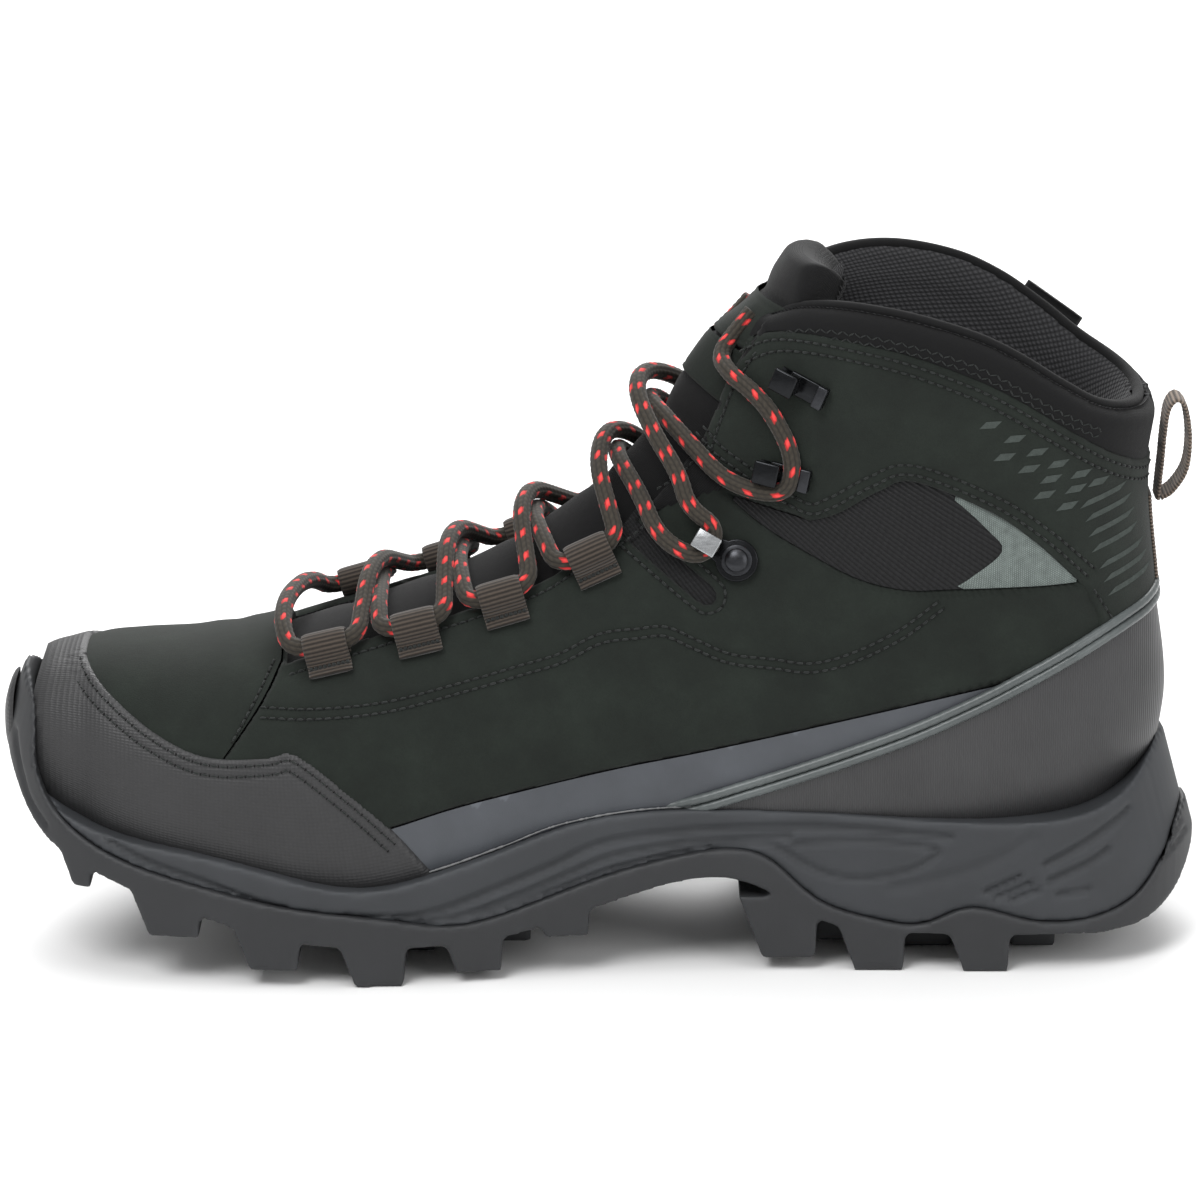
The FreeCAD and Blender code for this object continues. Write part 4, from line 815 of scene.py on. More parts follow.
toe_edge_lines = []
for side in (-1, 1):
    for gap in (1.9, 4.3):
        run = offset_line(TOE_CAP_EDGE[1:-1], -gap)
        travel, turn, good = side_place(run[:, 0], run[:, 1], side)
        line = skin(travel[good], turn[good])
        toe_edge_lines.append(line)


TOE_SWELL = 5.6


def toe_swell(travel, turn, points, distance):
    """The toe cap swells forward to the sole's bumper."""
    u = np.clip((-127.0 - points[:, 0]) / 14.0, 0.0, 1.0)
    v = np.clip((83.0 - points[:, 2]) / 20.0, 0.0, 1.0)
    return TOE_SWELL * u * u * (3.0 - 2.0 * u) * v * v * (3.0 - 2.0 * v)


panel("toe_cap_shell", Region([(TOE_SHAPE, 0.0), (BELOW_FEATHER, 0.0)]),
      MATERIALS["coated_leather"], ["toe_cap"], 1.0, 1.1, 1.2,
      grooves=toe_edge_lines, relief=toe_swell)
# The toe cap's rounded end, behind the bumper.
front_turn = np.linspace(0.0, 2 * math.pi, 96, endpoint=False)
front_travel = np.full(len(front_turn), TRAVELS[0])
front_skin = skin(front_travel, front_turn)
front_lift = 1.0 + toe_swell(front_travel, front_turn, front_skin, None)
front_rim = front_skin + skin_normal(front_travel + 0.4, front_turn) * front_lift[:, None]
front_share = np.cos(np.linspace(0.0, math.pi / 2.0, 12))[:, None, None]
front_rings = front_rim.mean(axis=0) + (front_rim - front_rim.mean(axis=0))[None] * front_share
front_rings[..., 0] -= 3.0 * np.sqrt(1.0 - front_share[..., 0] ** 2)
mesh_object("toe_cap_end", front_rings.reshape(-1, 3), grid_faces(12, 96, closed=True),
            MATERIALS["coated_leather"], "boot",
            front_rings.reshape(-1, 3)[:, 1:])
for line in toe_edge_lines:
    seam("toe", line + outward(line) * 0.85, 2.2)

wrinkle_phase = rng.uniform(0, 6.28, 3)


def vamp_creases(travel, turn, points, distance):
    """Shallow creases across the flex of the vamp."""
    wave = np.sin(travel * 0.55 + 2.0 * np.cos(turn * 1.5) + wrinkle_phase[0])
    zone = np.exp(-((travel + 92.0) / 10.0) ** 2) * np.clip(np.sin(turn / 2.0), 0, 1) ** 4
    return 0.16 * wave * zone


panel("vamp_nubuck", Region([(VAMP_SHAPE, 0.0)] + UPPER), MATERIALS["nubuck"],
      ["vamp"], 0.1, 1.0, 0.0, relief=vamp_creases)

for name, side, turns in HALVES:
    lines = []
    for gap in (-1.1, 1.1):
        run = offset_line(QUARTER_SEAM, gap)
        lines.append(on_skin(run[:, 0], run[:, 1], side))
    lines.append(skin_line([(-81.0, 77.0), (-85.5, 69.0), (-91.0, 60.0)], side))
    throat = offset_line(THROAT_EDGE[:7], -2.6)
    lines.append(on_skin(throat[:, 0], throat[:, 1], side))
    rim = smooth_run([(2.8, 106.2), (12.0, 99.0), (22.2, 91.2), (26.0, 89.6), (29.6, 91.2),
                      (30.4, 94.8), (28.2, 97.8), (19.0, 105.0), (10.0, 112.2)], 0.6)
    lines.append(on_skin(rim[:, 0], rim[:, 1], side))
    region = Region(UPPER, (side,), THROAT + [(VAMP_SHAPE, 0.0), (TEXTILE_SHAPE, 0.0),
                    (GUARD_SHAPE, 0.0), (SLOT_SHAPE, 0.0), (BAND_SHAPE, COLLAR_TILT)], turns)
    panel(f"quarter_nubuck_{name}", region, MATERIALS["nubuck"],
          [f"quarter_{name}"], 0.35, 1.3, 1.85, grooves=lines)
    for line in lines:
        seam("quarter", line + outward(line) * 0.3)
    under = Region([(GUARD_SHAPE, 0.0)] + UPPER, (side,), (), turns)
    panel(f"mudguard_wedge_{name}", under, MATERIALS["grey_synthetic"],
          [f"mudguard_{name}"], -0.15, 0.6, 0.0)
    weave = Region([(TEXTILE_SHAPE, 0.0)] + UPPER, (side,), THROAT, turns)
    panel(f"ankle_ribs_{name}", weave, MATERIALS["ribbed_textile"],
          [f"ankle_textile_{name}"], -0.5, 0.6, 0.0)
    shine = Region([(TEXTILE_SHAPE, 0.0), (CRESCENT_SHAPE, 0.0)] + UPPER, (side,), (), turns)
    panel(f"crescent_{name}", shine, MATERIALS["reflective_film"],
          [f"reflective_crescent_{name}"], 0.0, 0.5, 0.35)
    slot_back = Region([(outline([(2.0, 106.0), (25.0, 87.0)], [(32.5, 95.0), (9.0, 114.5)]), 0.0)],
                       (side,), (), turns)
    panel(f"slot_backing_{name}", slot_back, MATERIALS["ribbed_textile"],
          [], -1.2, 0.6, 0.0)

for name, side, turns in HALVES:
    lines = []
    for source, gaps, tilt in ((OVERLAY_TOP, (-2.0, -4.6), COLLAR_TILT),
                               (OVERLAY_LOW[:-1] + TEXTILE_TOP, (2.0, 4.4), 0.0)):
        for gap in gaps:
            run = offset_line(source, gap)
            travel, turn, good = tilted_place(run[:, 0], run[:, 1], side, tilt)
            lines.append(skin(travel[good], turn[good]))
    rear = offset_line([(120.4, 96.3), (127.1, 85.2)], 0.0)
    lines.append(on_skin(rear[:, 0], rear[:, 1], side))
    region = Region([(OVERLAY_SHAPE, 0.0)] + UPPER, (side,), THROAT + [(BAND_SHAPE, COLLAR_TILT),
                    (HEEL_SHAPE, 0.0), (FLAP_SHAPE, 0.0)], turns)
    front = offset_line([(36.8, 154.5), (31.2, 145.0), (27.6, 135.6), (25.2, 128.4)], 2.0)
    lines.append(on_skin(front[:, 0], front[:, 1], side))
    flap = Region([(outline(THROAT_EDGE[5:-1], [(40.5, 161.5)], [(41.5, 154.5), (36.0, 145.0),
                            (32.0, 132.0), (31.0, 119.0)]), 0.0)] + UPPER, (side,), THROAT, turns)
    edge = on_skin(*offset_line([(13.5, 117.5), (20.5, 122.5), (27.8, 132.5), (33.8, 147.4)], 0.0).T, side)
    panel(f"front_flap_{name}", flap, MATERIALS["tongue_cloth"], [], 0.75, 1.0, 1.4,
          grooves=[edge])
    seam("flaps", edge + outward(edge) * 0.65, 2.0)
    panel(f"overlay_nubuck_{name}", region, MATERIALS["nubuck"],
          [f"ankle_overlay_{name}"], 1.1, 0.9, 1.2, grooves=lines)
    for line in lines:
        seam("overlay", line + outward(line) * 0.98)

panel("heel_cover_shell", Region([(HEEL_SHAPE, 0.0)] + UPPER, turns=HEEL_TURNS),
      MATERIALS["heel_coating"], ["heel_counter_cover"], 0.9, 1.0, 1.2)


# ------------------------------------------------------------------------- the collar
RIM_RADIUS = 4.7
rim_shape = smooth_run(COLLAR_TOP, 0.15)
rim_points = []
for side in (-1, 1):
    travel, turn, good = tilted_place(rim_shape[:, 0], rim_shape[:, 1], side, COLLAR_TILT, 8)
    rim_points.append(np.stack([travel[good], turn[good]], axis=1))
rim_ends = [points[-1] for points in rim_points]
bridge = np.linspace(rim_ends[0], rim_ends[1], 60)
rim_domain = np.vstack([rim_points[0], bridge, rim_points[1][::-1]])
rim_tree = tree_of(skin(rim_domain[:, 0], rim_domain[:, 1]))


def rim_roll(points, radius=RIM_RADIUS):
    """Drop towards the padding where a layer rolls over the collar's rim."""
    _, distance = nearest(rim_tree, points)
    return rolled(distance, radius, radius)


band_region = Region([(BAND_SHAPE, COLLAR_TILT), (UNDER_COLLAR, COLLAR_TILT),
                      (BELOW_FEATHER, 0.0)], holes=THROAT, turns=HEEL_TURNS)
band_rows = []
for gap in (5.6, 7.4, 9.2):
    run = offset_line(COLLAR_TOP[:-1], -gap)
    for side in (-1, 1):
        travel, turn, good = tilted_place(run[:, 0], run[:, 1], side, COLLAR_TILT)
        band_rows.append(skin(travel[good], turn[good]))


def band_relief(travel, turn, points, distance):
    """The band's roll over the rim."""
    return rim_roll(points)


panel("collar_band_softshell", band_region, MATERIALS["softshell"],
      ["collar_band"], 0.35, 0.5, 0.0, relief=band_relief)
for line in band_rows[:4]:
    _, distance = nearest(rim_tree, line)
    stitch("collar", (line + outward(line) * (0.35 + rolled(distance, RIM_RADIUS, RIM_RADIUS))[:, None]),
           1.5, 0.2, 0.95, waver=0.45)

COLLAR_ZONE = outline(shifted(THROAT_EDGE[5:], 3.0, -1.5), [(52.0, 240.0)], [(190.0, 240.0)],
                      [(190.0, 100.0)], [(100.0, 98.0)], [(46.0, 104.0)])
PAD_INSET = 9.4


def collar_inside(name, region, replaced):
    """The mesh-covered padding inside the collar: rolls out to the rim, bulges, thins below."""
    travel, turn, quads, distance = region.grid(1.1)
    points = skin(travel, turn)
    _, to_rim = nearest(rim_tree, points)
    edge = np.clip(distance / 9.0, 0.0, 1.0)
    swell = np.sin(edge * math.pi / 2.0)
    dimple = 0.35 * np.sin(travel * 0.21 + 1.3 * np.sin(turn * 3.0)) * np.clip(to_rim / 10.0, 0, 1)
    inset = 3.6 + (PAD_INSET - 3.6 + dimple) * swell
    near = np.clip(1.0 - to_rim / (2.0 * RIM_RADIUS), 0.0, 1.0)
    rim_inset = RIM_RADIUS + (PAD_INSET - RIM_RADIUS) * np.sqrt(np.maximum(1.0 - near ** 2, 0.0))
    blend = np.clip(to_rim / 14.0, 0.0, 1.0)
    inset = np.where(to_rim < 14.0, rim_inset * (1 - blend) + np.maximum(inset, 3.6) * blend, inset)
    placed = points - skin_normal(travel, turn) * inset[:, None]
    item = mesh_object(name, placed, quads, MATERIALS["lining_mesh"], "boot",
                       np.stack([travel, turn * TURN_MM * 0.8], axis=-1))
    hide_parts(*replaced)
    return item


collar_region = Region([(COLLAR_ZONE, 0.0), (UNDER_COLLAR, COLLAR_TILT)], turns=HEEL_TURNS,
                       holes=THROAT)
collar_inside("collar_mesh_padding", collar_region,
              ["collar_padding_medial", "collar_padding_lateral",
               "collar_lining_medial", "collar_lining_lateral"])


def tube(name, line, radius, sides, material, body="boot"):
    """A closed tube along a 3-D line, in mm."""
    ring, ring_angle = rings_along(line, np.full(len(line), radius), sides)
    faces = grid_faces(len(line), sides, closed=True)
    faces.append(tuple(range(sides))[::-1])
    faces.append(tuple(range((len(line) - 1) * sides, len(line) * sides)))
    reach = np.arange(len(line))[:, None] * np.linalg.norm(line[1] - line[0])
    uv = np.stack(np.broadcast_arrays(reach, ring_angle[None, :] * radius), axis=-1)
    return mesh_object(name, ring.reshape(-1, 3), faces, material, body, uv.reshape(-1, 2))


RIM_BEAD = 1.5
rim_inner = skin(rim_domain[:, 0], rim_domain[:, 1]) - skin_normal(
    rim_domain[:, 0], rim_domain[:, 1]) * (RIM_RADIUS - 0.2)
rim_inner, _ = evenly(smooth_run(rim_inner[::8].tolist(), 0.8), 0.8)
tube("collar_bound_edge", rim_inner, RIM_BEAD, 12, MATERIALS["softshell"])


def lining_rise(travel, turn, points, distance):
    """The lining comes out to the cut edges of the leather and of the collar's rim."""
    _, to_rim = nearest(rim_tree, points)
    return 1.9 * np.clip(1.0 - distance / 1.6, 0.0, 1.0) ** 2 + rolled(to_rim, 4.5, 0.9)


for name, side, turns in HALVES:
    region = Region(UPPER, (side,), THROAT, turns)
    panel(f"lining_{name}", region, MATERIALS["lining_mesh"],
          [f"quarter_lining_{name}", f"foam_backing_{name}"]
          + (["vamp_lining", "heel_lining"] if side < 0 else []), -3.4, 0.5, 0.0,
          relief=lining_rise)

# ------------------------------------------------------------------------- the tongue
TONGUE_SPLIT, TONGUE_END = 102.5, 138.0
TONGUE_FRONT = THROAT_EDGE[:-1] + [(41.5, 170.0)]
TONGUE_ZONE = outline([(-88.0, 130.0), (-88.0, 74.0)], shifted(TONGUE_FRONT, 6.5, -5.5)[1:],
                      [(56.0, 240.0)])


def pillow(name, region, inset_out, inset_in, radius, material, body, replaced, limits,
           relief=None, step=1.0, back=None):
    """A closed stuffed slab between two insets, rounded to its rim; limits bound its travel."""
    travel, turn, quads, distance = region.grid(step)
    inner = (travel >= limits[0]) & (travel <= limits[1])
    quads = quads[inner[quads].all(axis=1)]
    used = np.unique(quads)
    renumber = np.full(len(travel), -1)
    renumber[used] = np.arange(len(used))
    travel, turn, distance, quads = travel[used], turn[used], distance[used], renumber[quads]
    ends = np.minimum(travel - travel.min(), travel.max() - travel)
    distance = np.minimum(distance, ends)
    u = np.clip(distance / radius, 0.0, 1.0)
    thick = np.sqrt(1.0 - (1.0 - u) ** 2)
    middle, half = (inset_out + inset_in) / 2.0, (inset_in - inset_out) / 2.0
    extra = 0.0 if relief is None else relief(travel, turn, distance)
    points, normal = skin(travel, turn), skin_normal(travel, turn)
    top = points + normal * (-middle + (half + extra) * thick)[:, None]
    stuffed = 0.0 if back is None else back(travel, distance)
    low = points + normal * (-middle - half * thick - stuffed)[:, None]
    lining = low - normal * 0.18
    whole = (distance > 1.3)[quads].all(axis=1)
    mesh_object(name + "_mesh_lining", lining, quads[whole][:, ::-1], MATERIALS["lining_mesh"],
                body, np.stack([travel, turn * TURN_MM * 0.8], axis=-1))
    count = len(top)
    faces = np.vstack([quads, quads[:, ::-1] + count])
    edges = {}
    for quad in quads:
        for a, b in zip(quad, np.roll(quad, -1)):
            edges[(a, b)] = edges.get((a, b), 0) + 1
    walls = [(b, a, a + count, b + count) for a, b in edges if (b, a) not in edges]
    faces = np.vstack([faces, np.array(walls)])
    uv = np.stack([travel, turn * TURN_MM], axis=-1)
    item = mesh_object(name, np.vstack([top, low]), faces, material, body,
                       np.vstack([uv, uv]))
    bm = bmesh.new()
    bm.from_mesh(item.data)
    bmesh.ops.remove_doubles(bm, verts=bm.verts, dist=0.05 * MM)
    for _ in range(5):
        bmesh.ops.smooth_vert(bm, verts=bm.verts, factor=0.5, use_axis_x=True, use_axis_y=True,
                              use_axis_z=True)
    bm.to_mesh(item.data)
    bm.free()
    item.data.shade_smooth()
    if replaced:
        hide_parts(*replaced)
    return item


def tongue_quilt(travel, turn, distance):
    """Swell of the padded tongue between its cross seams."""
    seams = np.array([-52.0, -22.0, 8.0, 38.0, 66.0, 88.0])
    gap = np.abs(travel[:, None] - seams[None, :]).min(axis=1)
    return 0.9 * (1.0 - np.exp(-(gap / 5.0) ** 2)) - 0.3


def tongue_back(travel, distance):
    """The stuffing that makes the tongue's upper end a fat roll towards the leg."""
    u = np.clip(distance / 9.0, 0.0, 1.0)
    return 8.5 * np.clip((travel - 112.0) / 10.0, 0.0, 1.0) ** 1.5 * np.sqrt(1.0 - (1.0 - u) ** 2)


def tongue_roll(travel, turn, distance):
    """The fat roll along the tongue's upper end and the seam below it."""
    return 1.1 * np.clip((travel - 123.0) / 5.0, 0.0, 1.0) - 0.9 * np.exp(-((travel - 121.5) / 1.3) ** 2)


tongue_region = Region([(TONGUE_ZONE, 0.0)])
tongue_low = pillow("tongue_pad_lower", tongue_region, 4.0, 10.2, 3.4, MATERIALS["tongue_cloth"],
                    "boot", ["tongue_cover", "tongue_padding", "tongue_lining"],
                    (-100.0, TONGUE_SPLIT + 1.2), tongue_quilt)
pillow("tongue_pad_upper", tongue_region, 3.7, 10.2, 3.4, MATERIALS["tongue_cloth"],
       "tongue_top", ["tongue_cover_top", "tongue_padding_top", "tongue_lining_top"],
       (TONGUE_SPLIT - 2.4, TONGUE_END), tongue_roll, back=tongue_back)

def patch_piece(name, low, high, body, replaced, lift):
    """A leather patch down the middle of the tongue, between two travels."""
    rows = np.arange(low, high + 0.01, 0.7)
    half = 18.5
    columns = np.linspace(-half, half, 43)
    tt, yy = np.meshgrid(rows, columns, indexing="ij")
    turn = math.pi + yy / 40.0
    for _ in range(8):
        y = skin(tt, turn, 4.0)[..., 1] - CENTRE_Y
        turn = turn + (yy - y) / 42.0
    points = skin(tt, turn)
    edge = np.minimum(np.minimum(tt - low, high - tt), half - abs(yy))
    height = -4.0 + lift + rolled(edge, 1.0, 0.7) + 0.35
    stitched = np.exp(-((edge - 2.2) / 0.5) ** 2) * 0.2
    placed = points + skin_normal(tt, turn) * (height - stitched)[..., None]
    item = mesh_object(name, placed.reshape(-1, 3), grid_faces(*tt.shape), MATERIALS["nubuck"],
                       body, np.stack([tt, yy], axis=-1).reshape(-1, 2))
    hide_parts(*replaced)
    return item


patch_piece("tongue_patch_lower", 84.5, 102.4, "boot", ["tongue_patch"], 1.0)
patch_piece("tongue_patch_upper", 103.2, 121.0, "tongue_top", ["tongue_patch_top"], 1.0)

GUSSET_ZONE = outline(shifted(THROAT_EDGE[:7], 1.0, -1.4), shifted(THROAT_EDGE[6::-1], 9.0, -9.0))
for name, side, turns in HALVES:
    region = Region([(GUSSET_ZONE, 0.0)] + UPPER, (side,), (), turns)
    travel, turn, quads, distance = region.grid(1.0)
    points = skin(travel, turn) + skin_normal(travel, turn) * (
        -3.95 + 0.12 * np.sin(travel * 0.9 + turn * 3.0))[:, None]
    item = mesh_object(f"gusset_cloth_{name}", points, quads, MATERIALS["tongue_cloth"],
                       "boot", np.stack([travel, turn * TURN_MM], axis=-1))
    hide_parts(f"tongue_gusset_{name}")
    _, long = evenly(skin_line(THROAT_EDGE[:7], side), 1.0)

# ----------------------------------------------------------- tapes, loops and the lace
def surface_frame(x, z, side, along_x, along_z, lift=0.0):
    """Origin and axes on the skin: X along a side-view direction, Z outward."""
    travel, turn, _ = side_place(x, z, side)
    normal = skin_normal(travel, turn)
    origin = skin(travel, turn) + normal * lift
    along = np.array([along_x, 0.0, along_z], float)
    along -= normal * along.dot(normal)
    along /= np.linalg.norm(along)
    return origin, np.stack([along, np.cross(normal, along), normal])


def tape(name, centre, normal, across, width, thickness, material, body="boot",
         columns=13, ribs=0.08, rib_pitch=1.1):
    """Webbing of a width and thickness along a centreline; normal points to its face."""
    centre, normal = np.asarray(centre, float), np.asarray(normal, float)
    steps = np.linalg.norm(np.diff(centre, axis=0), axis=1)
    reach = np.concatenate([[0.0], np.cumsum(steps)])
    side = np.linspace(-1.0, 1.0, columns)
    edge = 1.0 - np.abs(side) ** 8 * 0.7
    relief = ribs * np.cos(2 * math.pi * reach / rib_pitch)
    rows = []
    for sign in (1.0, -1.0):
        height = sign * (thickness / 2.0 * edge[None, :] + relief[:, None] * edge[None, :])
        sideways = np.asarray(across) * (side * width / 2.0)[:, None]
        rows.append(centre[:, None, :] + sideways[None] + normal[:, None, :] * height[..., None])
    ring = np.concatenate([rows[0], rows[1][:, ::-1]], axis=1)
    count = ring.shape[1]
    faces = grid_faces(len(centre), count, closed=True)
    faces.append(tuple(range(count))[::-1])
    faces.append(tuple(range((len(centre) - 1) * count, len(centre) * count)))
    uv = np.stack(np.broadcast_arrays(np.concatenate([side, side[::-1]])[None, :] * width / 2.0,
                                      reach[:, None]), axis=-1).reshape(-1, 2)
    return mesh_object(name, ring.reshape(-1, 3), faces, material, body, uv)


def join(items, name):
    """Join mesh pieces into the first."""
    bpy.ops.object.select_all(action="DESELECT")
    for item in items:
        item.select_set(True)
    bpy.context.view_layer.objects.active = items[0]
    bpy.ops.object.join()
    items[0].name = name
    return items[0]


LOOPS = {
    "medial": (-1, [(-67.3, 78.6), (-45.5, 84.0), (-24.5, 91.2), (-2.5, 101.4)]),
    "lateral": (1, [(-60.5, 81.0), (-38.8, 86.8), (-17.9, 94.6), (4.1, 105.6)]),
}
LOOP_SLOPES = [0.22, 0.28, 0.36, 0.52]
for name, (side, places) in LOOPS.items():
    pieces = []
    for index, ((x, z), slope) in enumerate(zip(places, LOOP_SLOPES), start=1):
        origin, axes = surface_frame(x, z, side, -side, -side * slope, 0.4)
        rise, radius = 3.5, 3.4
        # From the sewn tail, over the lace and back under it to the skin.
        start = np.array([[-7.0, 1.0], [-5.5, 1.1], [-4.4, 1.4]])
        arc = np.radians(np.arange(-70.0, 200.0, 8.0))
        run = np.stack([radius * np.sin(arc) + 0.2, rise + radius * np.cos(arc)], axis=1)
        line = smooth_run(np.vstack([start, run]), 0.35)
        tangent = np.gradient(line, axis=0)
        tangent /= np.linalg.norm(tangent, axis=1)[:, None]
        facing = np.stack([-tangent[:, 1], tangent[:, 0]], axis=1)
        centre = origin + line[:, :1] * axes[1] + line[:, 1:] * axes[2]
        face = facing[:, :1] * axes[1] + facing[:, 1:] * axes[2]
        pieces.append(tape(f"loop_{name}_{index}", centre, face, axes[0], 11.0, 0.95,
                           MATERIALS["webbing"], ribs=0.09, rib_pitch=1.0))
        bar = np.stack([origin + axes[0] * u + axes[1] * -4.9 + axes[2] * 1.75
                        for u in np.linspace(-5.2, 5.2, 30)])
        stitch("bars", bar, 1.1, 0.42, 0.9)
    item = join(pieces, f"webbing_loops_{name}")
    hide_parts(f"lace_loops_{name}")

# Through the loops and round the hooks, from one end at the tongue's patch to the other.
LACE_ROUTE = [
    (37.2, 8.0, 161.0), (34.0, 8.5, 157.0), (28.6, 12.0, 151.0), (31.3, 20.0, 148.0),
    (36.5, 23.8, 144.8), (41.8, 27.0, 139.5), (48.3, 29.1, 130.7), (46.4, 29.5, 120.9),
    (32.0, 25.6, 123.2),
    (26.0, 22.0, 132.0), (19.0, 15.5, 139.5), (10.5, 6.0, 143.5), (8.0, -6.0, 141.0),
    (12.5, -17.0, 132.5), (19.0, -23.5, 123.5), (21.0, -26.4, 115.9), (29.0, -27.5, 110.4),
    (24.4, -29.3, 102.9), (14.0, -27.6, 108.0), (9.5, -18.5, 117.0), (4.0, -7.0, 123.5),
    (3.5, 5.0, 124.0), (8.0, 14.5, 118.5), (10.0, 22.5, 111.0), (-4.5, 22.5, 104.0),
    (-11.0, 14.0, 108.5), (-18.0, 3.5, 113.5), (-20.5, -9.0, 111.0), (-19.0, -19.5, 103.0),
    (-17.5, -28.0, 96.0), (-33.0, -29.5, 91.5), (-35.0, -20.0, 96.0), (-36.0, -8.5, 98.5),
    (-35.5, 4.5, 98.0), (-34.5, 16.5, 96.0), (-32.5, 25.5, 92.0), (-48.0, 25.5, 87.5),
    (-51.5, 15.5, 91.0), (-55.5, 3.5, 95.5), (-58.5, -10.0, 94.5), (-59.5, -22.0, 88.5),
    (-60.5, -32.0, 83.5), (-76.5, -31.5, 80.0), (-79.5, -24.0, 85.0), (-79.0, -12.0, 88.5),
    (-76.0, 3.0, 88.8), (-73.0, 15.0, 86.5), (-69.5, 23.5, 82.0), (-54.0, 24.0, 86.5),
    (-55.0, 14.5, 89.5), (-55.5, 3.0, 90.5), (-55.5, -10.5, 90.5), (-55.5, -22.0, 89.0),
    (-54.5, -31.5, 85.0), (-39.0, -31.5, 89.0), (-39.0, -22.0, 94.5), (-39.0, -10.0, 102.0),
    (-36.5, 3.0, 103.5), (-31.5, 15.0, 98.5), (-27.0, 24.0, 94.5), (-11.5, 24.0, 100.0),
    (-14.5, 15.5, 104.5), (-16.5, 5.0, 108.0), (-17.0, -7.0, 108.5), (-14.5, -17.5, 105.5),
    (-11.0, -26.0, 100.0), (4.0, -24.5, 106.5), (1.5, -20.0, 114.5), (-1.5, -11.0, 123.5),
    (1.0, 1.0, 129.5), (8.5, 12.0, 125.5), (14.0, 21.5, 117.0), (17.1, 26.9, 109.7),
    (27.5, 28.9, 104.8), (31.9, 27.8, 112.5), (23.9, 26.5, 117.8), (21.0, 22.5, 126.5),
    (14.5, 13.0, 134.5), (11.0, 3.0, 137.0), (14.5, -9.0, 136.0), (21.5, -18.0, 130.0),
    (31.0, -25.3, 121.2), (45.4, -29.1, 118.8), (47.3, -28.9, 128.6), (41.8, -27.0, 139.5),
    (36.5, -23.8, 144.8), (31.3, -20.0, 148.0), (28.6, -12.0, 151.0), (34.0, -8.5, 157.0),
    (37.2, -8.0, 161.0),
]


def spline_points(route, resolution=24):
    """Dense points, in mm, of an open NURBS spline along a route in mm."""
    curve = bpy.data.curves.new("route", "CURVE")
    curve.dimensions = "3D"
    curve.resolution_u = resolution
    spline = curve.splines.new("NURBS")
    spline.points.add(len(route) - 1)
    for point, (x, y, z) in zip(spline.points, route):
        point.co = (x * MM, (y + CENTRE_Y) * MM, z * MM, 1.0)
    spline.order_u = 3
    spline.use_endpoint_u = True
    item = bpy.data.objects.new("route", curve)
    bpy.context.collection.objects.link(item)
    mesh = bpy.data.meshes.new_from_object(item)
    points = np.array([v.co[:] for v in mesh.vertices]) / MM
    bpy.data.objects.remove(item)
    bpy.data.curves.remove(curve)
    bpy.data.meshes.remove(mesh)
    return points


LACE_STEP = 0.42
lace_line, lace_length = evenly(spline_points(LACE_ROUTE), LACE_STEP)
_, lace_u, lace_v = frames_along(lace_line)
AROUND, WALES, KNIT = 40, 10, 1.75
theta = np.linspace(0.0, 2 * math.pi, AROUND, endpoint=False)
reach = np.arange(len(lace_line)) * LACE_STEP
ss, ang = np.meshgrid(reach, theta, indexing="ij")
wale = np.floor(ang / (2 * math.pi / WALES)).astype(int)
across = (ang / (2 * math.pi / WALES) - wale) * 2.0 - 1.0
slant = ss / KNIT + np.where(wale % 2 == 0, 0.32, -0.32) * across + 0.5 * (wale % 2)
knit = 0.5 + 0.5 * np.cos(2 * math.pi * slant)
height = np.sqrt(np.maximum(1.0 - across ** 2 * 0.95, 0.0)) * (0.55 + 0.45 * knit)
# Two strands side by side turn red for a short dash, again and again along the lace.
DASH_PERIOD, DASH = 4.0, 1.15
past_dash = np.mod(slant + 0.5 * DASH, DASH_PERIOD)
tracer = ((past_dash < DASH) & np.isin(wale % 5, (0, 2))).astype(float)
LACE_CORE, STRAND_RISE = 1.95, 0.3
radius = LACE_CORE + STRAND_RISE * height
lace_ring = (lace_line[:, None, :] + lace_u[:, None, :] * (np.cos(ang) * radius)[..., None]
             + lace_v[:, None, :] * (np.sin(ang) * radius)[..., None])
lace_faces = grid_faces(len(lace_line), AROUND, closed=True)
lace_faces.append(tuple(range(AROUND))[::-1])
lace_faces.append(tuple(range((len(lace_line) - 1) * AROUND, len(lace_line) * AROUND)))
lace = mesh_object("lace_braid", lace_ring.reshape(-1, 3), lace_faces, MATERIALS["lace_cord"],
                   "boot", np.stack([ss, ang], axis=-1).reshape(-1, 2))
for key, values in (("tracer", tracer), ("strand", height)):
    layer = lace.data.attributes.new(key, "FLOAT", "POINT")
    layer.data.foreach_set("value", values.ravel())
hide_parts("lace")
print(f"lace {lace_length:.1f} mm")

# --------------------------------------------------------------- piping, strap and tag
PIPING_RADIUS = 1.15
PIPING_STATIONS = [(14.0, 39.2), (22.0, 42.0), (30.0, 44.6), (46.0, 49.6), (62.0, 55.0),
                   (78.0, 61.0), (94.0, 68.5),
                   (107.0, 75.6), (118.0, 81.8), (126.5, 86.0), (133.0, 88.2)]


def heel_travel(z):
    """Travel of the heel line at a height."""
    x = 138.0
    for _ in range(30):
        travel = FAN_X + (90.0 - math.degrees(math.atan2(FAN_Z - z, x - FAN_X))) * FAN_STEP
        x = float(skin(travel, 0.0)[0])
    return travel


